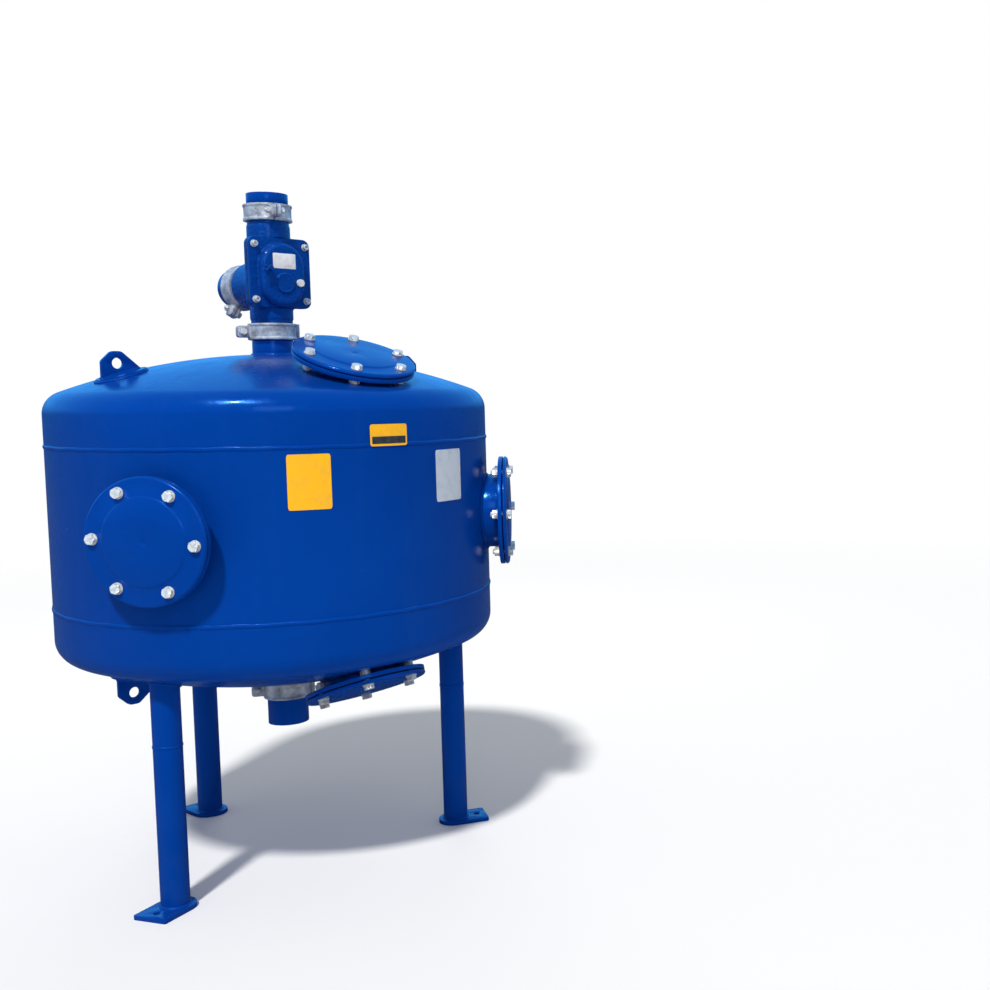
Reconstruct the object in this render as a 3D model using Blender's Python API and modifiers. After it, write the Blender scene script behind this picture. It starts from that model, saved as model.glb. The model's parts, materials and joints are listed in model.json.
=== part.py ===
"""Sand media filter: a dished steel vessel on three pipe legs, with a three-way backwash valve.

Metres, +Z up. The origin is on the floor under the tank's axis, and the front is -Y.
"""
import math

import bmesh
import bpy
from mathutils import Matrix, Vector

# Clearance between pieces that touch
SEAT = 0.0003

# Vessel
TANK_RADIUS = 0.600
TANK_WALL = 0.006
TANK_SEGMENTS = 40
SHELL_HEIGHT = 0.444
SHELL_MID_Z = 0.998
HEAD_SKIRT = 0.087
CROWN_RADIUS = 1.560
KNUCKLE_RADIUS = 0.064
KNUCKLE_STEPS = 3
CROWN_STEPS = 4

# Grooved 4 inch pipe
PIPE_RADIUS = 0.05715
PIPE_WALL = 0.006
PIPE_SEGMENTS = 16
PIPE_END_GAP = 0.0032
GROOVE_SETBACK = 0.0159
GROOVE_WIDTH = 0.0087
GROOVE_DEPTH = 0.0021
INLET_NECK_RISE = 0.065
OUTLET_NECK_DROP = 0.045
NECK_INSIDE = 0.045
SUPPLY_STUB_LENGTH = 0.055
DRAIN_STUB_LENGTH = 0.060
OUTLET_STUB_LENGTH = 0.100

# Pipe couplings
COUPLING_RADIUS = 0.0675
COUPLING_WIDTH = 0.0475
COUPLING_CAVITY_RADIUS = 0.0630
COUPLING_KEY_WIDTH = 0.0060
COUPLING_SPLIT = 0.003
COUPLING_EAR_REACH = 0.100
COUPLING_EAR_THICKNESS = 0.014
COUPLING_EAR_HEIGHT = 0.034
COUPLING_BOLT_RADIUS = 0.0055
COUPLING_BOLT_REACH = 0.084
KNUCKLE_PIN_RADIUS = 0.0035
KNUCKLE_BARREL_RADIUS = 0.0070
KNUCKLE_BARREL_SEGMENTS = 8
KNUCKLE_PIN_SEGMENTS = 6
COUPLING_GASKET_WIDTH = 0.033
COUPLING_EAR_TURNS = {"tank": 165, "supply": 255, "outlet": 150, "drain": 240}

# Hatches
HATCH_NECK_RADIUS = 0.10955
HATCH_NECK_WALL = 0.0063
HATCH_NECK_LENGTH = 0.078
HATCH_NECK_SETBACK = 0.003
HATCH_RADIUS = 0.162
HATCH_FLANGE_THICKNESS = 0.012
HATCH_COVER_THICKNESS = 0.010
HATCH_COVER_EDGE = 0.003
HATCH_PANEL_RADIUS = 0.110
HATCH_PANEL_RISE = 0.004
HATCH_GASKET_RADIUS = 0.124
HATCH_GASKET_THICKNESS = 0.0025
HATCH_BOLT_CIRCLE_RADIUS = 0.1355
HATCH_BOLT_HOLE_RADIUS = 0.009
HATCH_BOLT_COUNT = 6
HATCH_BOLT_SEGMENTS = 6
HATCH_SEGMENTS = 20
SIDE_HATCH_STANDOFF = 0.050
END_HATCH_SETBACK = 0.1878
END_HATCH_STANDOFF = 0.0328
END_HATCH_TILT = 21.3
FRONT_HATCH_AZIMUTH = 212.0
SIDE_HATCH_AZIMUTH = 318.0
END_HATCH_AZIMUTH = 270.0
FRONT_HATCH_ROLL = -3.4

# Legs and feet
LEG_RADIUS = 0.0365
LEG_WALL = 0.005
LEG_SEGMENTS = 12
LEG_SETBACK = 0.115
LEG_AZIMUTHS = {"rear": 91.5, "left": 202.0, "right": 334.0}
FOOT_THICKNESS = 0.012
FOOT_SIDE_MARGIN = 0.015
FOOT_TOE_MARGIN = 0.058
ANCHOR_HOLE_RADIUS = 0.009
ANCHOR_HOLE_REACH = 0.066
ANCHOR_HOLE_SEGMENTS = 12
FOOT_TOE_CORNER = 0.0055
FOOT_HEEL_CORNER = 0.0505
FOOT_CORNER_STEPS = 5

# Lifting lugs
LUG_SETBACK = 0.151
LUG_HOLE_RISE = 0.0367
LUG_HOLE_RADIUS = 0.0145
LUG_THICKNESS = 0.012
LUG_OUTER_REACH = 0.042
LUG_INNER_REACH = 0.063
LUG_TOP_REACH = 0.032
LUG_PAD_RADIUS = 0.062
LUG_PAD_THICKNESS = 0.008
LUG_PAD_SETBACK = 0.010
LUG_PAD_SEGMENTS = 16
LUG_HOLE_SEGMENTS = 10
LUG_FOOT_DROP = 0.070
LUG_OUTER_SLOPE_WIDTH = 0.027
LUG_OUTER_SLOPE_HEIGHT = 0.026
LUG_TOP_START = -0.011
LUG_INNER_SLOPE_END = -0.014
LUG_FOOT_TAPER = 0.008
LUG_CORNERS = [0.002, 0.008, 0.008, 0.008, 0.004, 0.002]
LUG_AZIMUTHS = {"right": 0.0, "left": 180.0}

# Inside the vessel
NOZZLE_PLATE_DROP = 0.041
NOZZLE_PLATE_THICKNESS = 0.012
STRAINER_RADIUS = 0.030
STRAINER_HEIGHT = 0.048
STRAINER_TAIL = 0.030
STRAINER_TAIL_RADIUS = 0.012
STRAINER_SEGMENTS = 6
STRAINER_COUNTS = (1, 6, 12)
STRAINER_RIM_MARGIN = 0.160
SAND_CLEARANCE = 0.044
DIFFUSER_RADIUS = 0.095
DIFFUSER_DROP = 0.062
DIFFUSER_WALL = 0.005
DIFFUSER_WINDOW = 0.036
DIFFUSER_BAND = 0.012

# Backwash valve, measured from the crossing of its plunger's axis and its port axis
VALVE_HEIGHT = 0.340
PLUNGER_DROP = 0.034
VALVE_WALL = 0.008
PORT_BARREL_RADIUS = 0.0595
PORT_BARREL_MARGIN = 0.034
DRAIN_REACH = 0.140
DRAIN_BARREL_RADIUS = 0.071
SUPPLY_BARREL_RADIUS = 0.076
COVER_WIDTH = 0.190
COVER_HEIGHT = 0.200
COVER_FOOT_MARGIN = 0.0015
COVER_CORNER = 0.022
COVER_FACE = 0.057
COVER_THICKNESS = 0.012
COVER_GASKET_THICKNESS = 0.0014
VALVE_FLANGE_THICKNESS = 0.014
COVER_SCREW_SIDE_MARGIN = 0.016
COVER_SCREW_END_MARGIN = 0.022
COVER_SCREW_RADIUS = 0.0055
DOME_RISE = 0.023
DOME_RADIUS = 0.0675
DOME_END_MARGINS = 0.017
DOME_EDGE = 0.014
DOME_WALL = 0.006
BOSS_RADIUS = 0.028
BOSS_RISE = 0.005
BOSS_SEGMENTS = 20
DOME_CORNER = 0.066
DOME_CORNER_STEPS = 5
BULGE_BACK = -0.019
BULGE_EDGE = 0.025
COVER_CORNER_STEPS = 3
COVER_SCREW_SEGMENTS = 8
STEM_SEGMENTS = 16
SEAT_RIB_TURNS = (0, 60, 120)
SLEEVE_END = 0.030
SLEEVE_WALL = 0.0050
STROKE = 0.028
PISTON_RADIUS = 0.060
PISTON_THICKNESS = 0.012
PISTON_BACKLASH = 0.002
SEAL_DEPTH = 0.004
SEAL_WIDTH = 0.005
STEM_RADIUS = 0.010
STEM_COLLAR_RADIUS = 0.015
SUPPLY_WALL_FRONT = 0.002
SUPPLY_WALL_THICKNESS = 0.012
SUPPLY_SEAT_RADIUS = 0.050
SUPPLY_SEAT_WALL = 0.006
SUPPLY_SEAT_LIP = 0.004
SUPPLY_DISC_RADIUS = 0.049
HUB_RADIUS = 0.016
HUB_LENGTH = 0.008
RIB_WIDTH = 0.006
DISC_THICKNESS = 0.008
TANK_CHAMBER_RADIUS = 0.060
TANK_CHAMBER_DEPTH = 0.038
DRAIN_SEAT_RADIUS = 0.042
DRAIN_SEAT_THICKNESS = 0.008
DRAIN_DISC_RADIUS = 0.048
DRAIN_CHAMBER_RADIUS = 0.062
DRAIN_CHAMBER_DEPTH = 0.038
DRAIN_TAPER = 0.012
DUCT_HALF_WIDTH = 0.046
THROAT_RADIUS = 0.042
FITTING_X = -0.052
FITTING_RISE = 0.040
FITTING_THREAD_RADIUS = 0.0065
FITTING_HEX_RADIUS = 0.011
FITTING_LENGTH = 0.022
FITTING_HOSE_RADIUS = 0.0045
FITTING_HEX_HEIGHT = 0.008
FITTING_THREAD_DEPTH = 0.008
FITTING_SHOULDER_RADIUS = 0.0088
FITTING_SHOULDER_HEIGHT = 0.016
FITTING_SEGMENTS = 12
HOSE_END_HEIGHT = 0.012
HOSE_END_LEAN = -70
HOSE_END_RISE = 30
HOSE_END_SEGMENTS = 8
PLUG_X = 0.046
PLUG_RISE = 0.003
PLUG_LENGTH = 0.008
PLUG_SEGMENTS = 8

# Sizes that follow
SHELL_TOP = SHELL_MID_Z + SHELL_HEIGHT / 2
TANGENT_Z = SHELL_TOP + HEAD_SKIRT
CROWN_CENTRE_Z = TANGENT_Z - math.sqrt(
    (CROWN_RADIUS - KNUCKLE_RADIUS) ** 2 - (TANK_RADIUS - KNUCKLE_RADIUS) ** 2)
APEX_Z = CROWN_CENTRE_Z + CROWN_RADIUS
SIDE_HATCH_FACE = TANK_RADIUS + SIDE_HATCH_STANDOFF
END_HATCH_RADIUS = TANK_RADIUS - END_HATCH_SETBACK
END_HATCH_FACE_Z = (
    CROWN_CENTRE_Z + math.sqrt(CROWN_RADIUS ** 2 - END_HATCH_RADIUS ** 2) + END_HATCH_STANDOFF)
LEG_CIRCLE_RADIUS = TANK_RADIUS - LEG_SETBACK
LUG_HOLE_CIRCLE_RADIUS = TANK_RADIUS - LUG_SETBACK
LUG_HOLE_Z = CROWN_CENTRE_Z + math.sqrt(CROWN_RADIUS ** 2 - LUG_HOLE_CIRCLE_RADIUS ** 2) + LUG_HOLE_RISE
NOZZLE_PLATE_Z = SHELL_MID_Z - SHELL_HEIGHT / 2 - NOZZLE_PLATE_DROP
SAND_TOP_Z = SHELL_TOP - SAND_CLEARANCE
STRAINER_RIM_RADIUS = TANK_RADIUS - STRAINER_RIM_MARGIN
TANK_COUPLING_Z = APEX_Z + INLET_NECK_RISE
SUPPLY_COUPLING_Z = TANK_COUPLING_Z + VALVE_HEIGHT
OUTLET_COUPLING_Z = 2 * SHELL_MID_Z - APEX_Z - OUTLET_NECK_DROP
PLUNGER_Z = TANK_COUPLING_Z + VALVE_HEIGHT / 2 - PLUNGER_DROP
PIPE_BORE = PIPE_RADIUS - PIPE_WALL
COVER_RISE = COVER_HEIGHT / 2 - DOME_RADIUS - COVER_FOOT_MARGIN
COVER_SCREW_X = COVER_WIDTH / 2 - COVER_SCREW_SIDE_MARGIN
COVER_SCREW_Z = COVER_HEIGHT / 2 - COVER_SCREW_END_MARGIN
DOME_TALL = COVER_HEIGHT - 2 * DOME_RADIUS - DOME_END_MARGINS
GASKET_FACE = COVER_FACE - COVER_THICKNESS - SEAT
FLANGE_FACE = GASKET_FACE - COVER_GASKET_THICKNESS - SEAT
DOME_FACE = COVER_FACE + DOME_RISE
BORE_END = DOME_FACE - DOME_WALL
PISTON_BORE = PISTON_RADIUS + SEAT
PISTON_FRONT = BORE_END - PISTON_BACKLASH
SLEEVE_RADIUS = PISTON_BORE + SLEEVE_WALL
SUPPLY_WALL_BACK = SUPPLY_WALL_FRONT - SUPPLY_WALL_THICKNESS
SUPPLY_DISC_BACK = SUPPLY_SEAT_LIP + SEAT + STROKE
TANK_CHAMBER_BACK = SUPPLY_WALL_BACK - TANK_CHAMBER_DEPTH
DRAIN_SEAT_BACK = TANK_CHAMBER_BACK - DRAIN_SEAT_THICKNESS
DRAIN_CHAMBER_BACK = DRAIN_SEAT_BACK - DRAIN_CHAMBER_DEPTH
STEM_BACK = DRAIN_SEAT_BACK - SEAT - DISC_THICKNESS - 2 * SEAT

# Finishes: colour, roughness, metallic
BLUE_ENAMEL = ((0.003, 0.055, 0.330), 0.22, 0.0)
BLUE_CASTING = ((0.003, 0.060, 0.360), 0.38, 0.0)
CAST_ALLOY = ((0.42, 0.45, 0.48), 0.45, 1.0)
BRONZE = ((0.45, 0.28, 0.12), 0.40, 1.0)
STAINLESS = ((0.55, 0.56, 0.57), 0.28, 1.0)
BLACK_RUBBER = ((0.02, 0.02, 0.02), 0.75, 0.0)
WHITE_PLASTIC = ((0.80, 0.80, 0.78), 0.45, 0.0)
BLACK_PLASTIC = ((0.03, 0.03, 0.03), 0.50, 0.0)
SAND = ((0.55, 0.43, 0.27), 0.95, 0.0)

for old in list(bpy.data.objects):
    bpy.data.objects.remove(old, do_unlink=True)

PARTS = bpy.data.collections.new("sand_media_filter")
CUTTERS = bpy.data.collections.new("cutters")
bpy.context.scene.collection.children.link(PARTS)
bpy.context.scene.collection.children.link(CUTTERS)


def add_shape(mesh, matrix=None):
    """Working shape in the cutters' collection, hidden from renders."""
    shape = bpy.data.objects.new("shape", mesh)
    CUTTERS.objects.link(shape)
    shape.hide_render = True
    shape.display_type = "WIRE"
    if matrix is not None:
        shape.matrix_world = matrix
    return shape


def shape_from_bmesh(bm, matrix=None):
    mesh = bpy.data.meshes.new("shape")
    bm.to_mesh(mesh)
    bm.free()
    return add_shape(mesh, matrix)


def rod(radius, bottom, top, segments=PIPE_SEGMENTS, matrix=None):
    """Cylinder along local Z."""
    bm = bmesh.new()
    bmesh.ops.create_cone(
        bm, cap_ends=True, segments=segments, radius1=radius, radius2=radius, depth=top - bottom,
        matrix=Matrix.Translation((0, 0, (top + bottom) / 2)))
    return shape_from_bmesh(bm, matrix)


def block(low, high, matrix=None, edge=0.0, edge_axis=None, steps=2):
    """Box from its low to its high corner, with its edges along one local axis rounded."""
    low, high = Vector(low), Vector(high)
    bm = bmesh.new()
    bmesh.ops.create_cube(
        bm, size=1.0, matrix=Matrix.Translation((low + high) / 2) @ Matrix.Diagonal((*(high - low), 1)))
    if edge:
        along = Vector(edge_axis)
        rounded_edges = [e for e in bm.edges
                         if abs((e.verts[1].co - e.verts[0].co).normalized().dot(along)) > 0.9]
        bmesh.ops.bevel(bm, geom=rounded_edges, offset=edge, segments=steps, affect="EDGES", profile=0.5)
    return shape_from_bmesh(bm, matrix)


def turned(outline, segments, matrix=None):
    """Solid of revolution round local Z, from (radius, height) points."""
    area = sum(a[0] * b[1] - b[0] * a[1] for a, b in zip(outline, outline[1:] + outline[:1]))
    points = outline if area < 0 else outline[::-1]
    count = len(points)
    links = [(i, i + 1) for i in range(count - 1)]
    if min(radius for radius, height in points) > 0:
        links.append((count - 1, 0))
    mesh = bpy.data.meshes.new("outline")
    mesh.from_pydata([(radius, 0, height) for radius, height in points], links, [])
    shape = add_shape(mesh, matrix)
    screw = shape.modifiers.new("Turn", "SCREW")
    screw.steps = segments
    screw.render_steps = segments
    screw.use_merge_vertices = True
    screw.merge_threshold = 0.00001
    return shape


def circle(radius, segments, centre=(0, 0)):
    return [(centre[0] + radius * math.cos(2 * math.pi * i / segments),
             centre[1] + radius * math.sin(2 * math.pi * i / segments)) for i in range(segments)]


def rounded(corners, radii, steps):
    """Closed outline through corner points, each rounded to its own radius."""
    outline = []
    count = len(corners)
    for i, (corner, radius) in enumerate(zip(corners, radii)):
        here = Vector(corner)
        before = (Vector(corners[i - 1]) - here).normalized()
        after = (Vector(corners[(i + 1) % count]) - here).normalized()
        half = before.angle(after) / 2
        centre = here + (before + after).normalized() * radius / math.sin(half)
        start = here + before * radius / math.tan(half) - centre
        end = here + after * radius / math.tan(half) - centre
        for step in range(steps + 1):
            outline.append(tuple(centre + start.slerp(end, step / steps).normalized() * radius))
    return outline


def plate(outlines, thickness, matrix=None, edge=0.0, steps=2):
    """Flat plate standing on local XY, its holes given as inner outlines, its top edge rounded."""
    curve = bpy.data.curves.new("plate", "CURVE")
    curve.dimensions = "2D"
    curve.fill_mode = "BOTH"
    curve.extrude = thickness / 2
    for outline in outlines:
        spline = curve.splines.new("POLY")
        spline.points.add(len(outline) - 1)
        spline.use_cyclic_u = True
        for point, (x, y) in zip(spline.points, outline):
            point.co = (x, y, 0, 1)
    drawing = add_shape(curve)
    depsgraph = bpy.context.evaluated_depsgraph_get()
    mesh = bpy.data.meshes.new_from_object(drawing.evaluated_get(depsgraph))
    bpy.data.objects.remove(drawing)
    bm = bmesh.new()
    bm.from_mesh(mesh)
    bmesh.ops.remove_doubles(bm, verts=bm.verts, dist=0.00001)
    bmesh.ops.translate(bm, verts=bm.verts, vec=(0, 0, thickness / 2))
    bmesh.ops.recalc_face_normals(bm, faces=bm.faces)
    if edge:
        bmesh.ops.dissolve_limit(bm, angle_limit=0.01, verts=bm.verts, edges=bm.edges)
        rim = [e for e in bm.edges if min(v.co.z for v in e.verts) > thickness - 0.00001]
        bmesh.ops.bevel(bm, geom=rim, offset=edge, segments=steps, affect="EDGES", profile=0.5)
    return shape_from_bmesh(bm, matrix)


def combine(target, tool, operation):
    boolean = target.modifiers.new(operation.title(), "BOOLEAN")
    boolean.operation = operation
    boolean.solver = "EXACT"
    boolean.object = tool
    return target


def cut(target, *tools):
    for tool in tools:
        combine(target, tool, "DIFFERENCE")
    return target


def fuse(target, *tools):
    for tool in tools:
        combine(target, tool, "UNION")
    return target


def keep_inside(target, tool):
    return combine(target, tool, "INTERSECT")


def finish_part(name, shape, finish, parent=None):
    """Settle a working shape into a named part with its own material."""
    depsgraph = bpy.context.evaluated_depsgraph_get()
    mesh = bpy.data.meshes.new_from_object(shape.evaluated_get(depsgraph))
    mesh.name = name
    bm = bmesh.new()
    bm.from_mesh(mesh)
    bmesh.ops.remove_doubles(bm, verts=bm.verts, dist=0.00001)
    bmesh.ops.dissolve_degenerate(bm, dist=0.00001, edges=bm.edges)
    bm.to_mesh(mesh)
    bm.free()
    mesh.shade_smooth()
    mesh.set_sharp_from_angle(angle=math.radians(32))
    part = bpy.data.objects.new(name, mesh)
    PARTS.objects.link(part)
    if parent is None:
        part.matrix_world = shape.matrix_world
    else:
        part.parent = parent
    color, roughness, metallic = finish
    material = bpy.data.materials.new(name)
    material.use_nodes = True
    shader = material.node_tree.nodes["Principled BSDF"]
    shader.inputs["Base Color"].default_value = (*color, 1.0)
    shader.inputs["Roughness"].default_value = roughness
    shader.inputs["Metallic"].default_value = metallic
    mesh.materials.clear()
    mesh.materials.append(material)
    return part


def add_empty(name, matrix):
    empty = bpy.data.objects.new(name, None)
    PARTS.objects.link(empty)
    empty.matrix_world = matrix
    return empty


def turn_z(degrees):
    return Matrix.Rotation(math.radians(degrees), 4, "Z")


# The lower half of the vessel mirrors the upper half in the shell's middle plane
MIRROR_DOWN = Matrix.Translation((0, 0, 2 * SHELL_MID_Z)) @ Matrix.Diagonal((1, 1, -1, 1))


def mirrored_down(matrix):
    """The same place under the vessel, kept right-handed by turning it round its own X axis."""
    flipped = MIRROR_DOWN @ matrix
    return flipped @ Matrix.Diagonal((1, -1, 1, 1))


def head_outline(offset):
    """Upper head's section from near the axis out to the seam, set off from its outer face."""
    tilt = math.asin((TANK_RADIUS - KNUCKLE_RADIUS) / (CROWN_RADIUS - KNUCKLE_RADIUS))
    start = math.asin((PIPE_RADIUS + SEAT) / (CROWN_RADIUS + offset))
    points = []
    for step in range(CROWN_STEPS):
        angle = start + (tilt - start) * step / CROWN_STEPS
        points.append(((CROWN_RADIUS + offset) * math.sin(angle),
                       CROWN_CENTRE_Z + (CROWN_RADIUS + offset) * math.cos(angle)))
    for step in range(KNUCKLE_STEPS + 1):
        angle = tilt + (math.pi / 2 - tilt) * step / KNUCKLE_STEPS
        points.append((TANK_RADIUS - KNUCKLE_RADIUS + (KNUCKLE_RADIUS + offset) * math.sin(angle),
                       TANGENT_Z + (KNUCKLE_RADIUS + offset) * math.cos(angle)))
    points.append((TANK_RADIUS + offset, SHELL_TOP + SEAT / 2))
    return points


def head_envelope(offset, matrix=None):
    """Solid under the upper head's outer face, set off by a clearance."""
    points = head_outline(offset)
    return turned([(0, points[0][1])] + points + [(0, SHELL_TOP)], TANK_SEGMENTS, matrix)


def hatch_place(azimuth, radius, height, tilt, roll=0.0):
    """Frame at a hatch's flange face: local Z outwards, local X level."""
    outwards = Matrix.Rotation(math.radians(tilt), 4, "X")
    return (turn_z(azimuth + 90) @ Matrix.Translation((0, -radius, height)) @ outwards @ turn_z(roll))


TOP_HATCH = hatch_place(END_HATCH_AZIMUTH, END_HATCH_RADIUS, END_HATCH_FACE_Z, END_HATCH_TILT)
HATCH_PLACES = {
    "top": TOP_HATCH,
    "bottom": mirrored_down(TOP_HATCH),
    "front": hatch_place(FRONT_HATCH_AZIMUTH, SIDE_HATCH_FACE, SHELL_MID_Z, 90, FRONT_HATCH_ROLL),
    "side": hatch_place(SIDE_HATCH_AZIMUTH, SIDE_HATCH_FACE, SHELL_MID_Z, 90),
}


def neck_hole(place, margin=SEAT):
    """Room for a hatch's neck where it passes through the vessel's wall."""
    return rod(HATCH_NECK_RADIUS + margin, -2 * HATCH_NECK_LENGTH, -HATCH_FLANGE_THICKNESS,
               HATCH_SEGMENTS, place)


def build_vessel():
    inner = TANK_RADIUS - TANK_WALL
    low, high = SHELL_MID_Z - SHELL_HEIGHT / 2 + SEAT / 2, SHELL_TOP - SEAT / 2
    shell = turned([(TANK_RADIUS, high), (TANK_RADIUS, low), (inner, low), (inner, high)], TANK_SEGMENTS)
    cut(shell, neck_hole(HATCH_PLACES["front"]), neck_hole(HATCH_PLACES["side"]))
    finish_part("tank_shell", shell, BLUE_ENAMEL)

    section = head_outline(0.0) + head_outline(-TANK_WALL)[::-1]
    upper = cut(turned(section, TANK_SEGMENTS), neck_hole(HATCH_PLACES["top"]))
    finish_part("upper_head", upper, BLUE_ENAMEL)
    lower_section = [(radius, 2 * SHELL_MID_Z - height) for radius, height in section]
    lower = cut(turned(lower_section, TANK_SEGMENTS), neck_hole(HATCH_PLACES["bottom"]))
    finish_part("lower_head", lower, BLUE_ENAMEL)


def grooved_end(end, inwards):
    """Outer corners of a pipe's grooved end, from the end inwards (+1 or -1 along the pipe)."""
    groove = PIPE_RADIUS - GROOVE_DEPTH
    near = end + inwards * GROOVE_SETBACK
    far = near + inwards * GROOVE_WIDTH
    return [(PIPE_RADIUS, end), (PIPE_RADIUS, near), (groove, near), (groove, far), (PIPE_RADIUS, far)]


def build_pipe(name, grooved, plain, matrix=None):
    """Pipe along local Z with one grooved and one plain end."""
    inwards = 1 if plain > grooved else -1
    outline = grooved_end(grooved, inwards) + [
        (PIPE_RADIUS, plain), (PIPE_BORE, plain), (PIPE_BORE, grooved)]
    return finish_part(name, turned(outline, PIPE_SEGMENTS, matrix), BLUE_ENAMEL)


def build_necks_and_stubs():
    half_gap = PIPE_END_GAP / 2
    build_pipe("inlet_neck", TANK_COUPLING_Z - half_gap, APEX_Z - NECK_INSIDE)
    build_pipe("outlet_neck", OUTLET_COUPLING_Z + half_gap, 2 * SHELL_MID_Z - APEX_Z + NECK_INSIDE)
    build_pipe("inlet_stub", SUPPLY_COUPLING_Z + half_gap, SUPPLY_COUPLING_Z + SUPPLY_STUB_LENGTH)
    build_pipe("outlet_stub", OUTLET_COUPLING_Z - half_gap, OUTLET_COUPLING_Z - OUTLET_STUB_LENGTH)
    build_pipe("drain_stub", -DRAIN_REACH - half_gap, -DRAIN_REACH - DRAIN_STUB_LENGTH, VALVE_PLACE)


def build_hatch(name, place):
    """Set-in neck with a slip-on flange, a gasket and a bolted cover."""
    frame = add_empty(name + "_hatch", place)
    segments = HATCH_SEGMENTS
    outer, inner = HATCH_NECK_RADIUS, HATCH_NECK_RADIUS - HATCH_NECK_WALL
    top, bottom = -HATCH_NECK_SETBACK, -HATCH_NECK_LENGTH
    neck = turned([(outer, top), (outer, bottom), (inner, bottom), (inner, top)], segments, place)
    finish_part(name + "_hatch_neck", neck, BLUE_ENAMEL, frame)

    bolts = [circle(HATCH_BOLT_HOLE_RADIUS, HATCH_BOLT_SEGMENTS, centre)
             for centre in circle(HATCH_BOLT_CIRCLE_RADIUS, HATCH_BOLT_COUNT)]
    rim = circle(HATCH_RADIUS, segments)
    flange = plate([rim, circle(outer + SEAT, segments)] + bolts, HATCH_FLANGE_THICKNESS,
                   place @ Matrix.Translation((0, 0, -HATCH_FLANGE_THICKNESS)))
    finish_part(name + "_hatch_flange", flange, BLUE_ENAMEL, shift_empty(frame, -HATCH_FLANGE_THICKNESS))

    low, high = SEAT, SEAT + HATCH_GASKET_THICKNESS
    gasket = turned([(HATCH_GASKET_RADIUS, high), (HATCH_GASKET_RADIUS, low), (inner, low), (inner, high)],
                    segments, place)
    finish_part(name + "_hatch_gasket", gasket, BLACK_RUBBER, frame)

    base = high + SEAT
    face = base + HATCH_COVER_THICKNESS
    edge = HATCH_COVER_EDGE
    cover = turned([(0, face + HATCH_PANEL_RISE), (HATCH_PANEL_RADIUS, face + HATCH_PANEL_RISE),
                    (HATCH_PANEL_RADIUS + HATCH_PANEL_RISE, face), (HATCH_RADIUS - edge, face),
                    (HATCH_RADIUS, face - edge), (HATCH_RADIUS, base), (0, base)], segments, place)
    for x, y in circle(HATCH_BOLT_CIRCLE_RADIUS, HATCH_BOLT_COUNT):
        hole = place @ Matrix.Translation((x, y, 0))
        cut(cover, rod(HATCH_BOLT_HOLE_RADIUS, 0, 2 * face, HATCH_BOLT_SEGMENTS, hole))
    finish_part(name + "_hatch_cover", cover, BLUE_ENAMEL, frame)


def shift_empty(frame, height):
    """Child frame moved along its parent's local Z."""
    child = add_empty(frame.name + "_base", Matrix.Identity(4))
    child.parent = frame
    child.matrix_basis = Matrix.Translation((0, 0, height))
    return child


def build_leg(name, azimuth):
    """Pipe leg coped to the lower head, standing on a foot plate with a round heel."""
    place = turn_z(azimuth) @ Matrix.Translation((LEG_CIRCLE_RADIUS, 0, 0))
    foot_top, leg_top = FOOT_THICKNESS + SEAT, SHELL_MID_Z - SHELL_HEIGHT / 2
    leg = turned([(LEG_RADIUS, leg_top), (LEG_RADIUS, foot_top), (LEG_RADIUS - LEG_WALL, foot_top),
                  (LEG_RADIUS - LEG_WALL, leg_top)], LEG_SEGMENTS, place)
    cut(leg, lower_envelope(SEAT))
    finish_part(name + "_leg", leg, BLUE_ENAMEL)

    half = LEG_RADIUS + FOOT_SIDE_MARGIN
    toe = LEG_RADIUS + FOOT_TOE_MARGIN
    outline = rounded([(-half, -half), (toe, -half), (toe, half), (-half, half)],
                      [FOOT_HEEL_CORNER, FOOT_TOE_CORNER, FOOT_TOE_CORNER, FOOT_HEEL_CORNER],
                      FOOT_CORNER_STEPS)
    anchor = circle(ANCHOR_HOLE_RADIUS, ANCHOR_HOLE_SEGMENTS, (ANCHOR_HOLE_REACH, 0))
    foot = plate([outline, anchor], FOOT_THICKNESS, place)
    finish_part(name + "_foot_plate", foot, BLUE_ENAMEL)


def lower_envelope(offset):
    """Solid over the lower head's outer face, set off by a clearance."""
    points = [(radius, 2 * SHELL_MID_Z - height) for radius, height in head_outline(offset)]
    return turned([(0, points[0][1])] + points + [(0, SHELL_MID_Z)], TANK_SEGMENTS)


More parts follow.
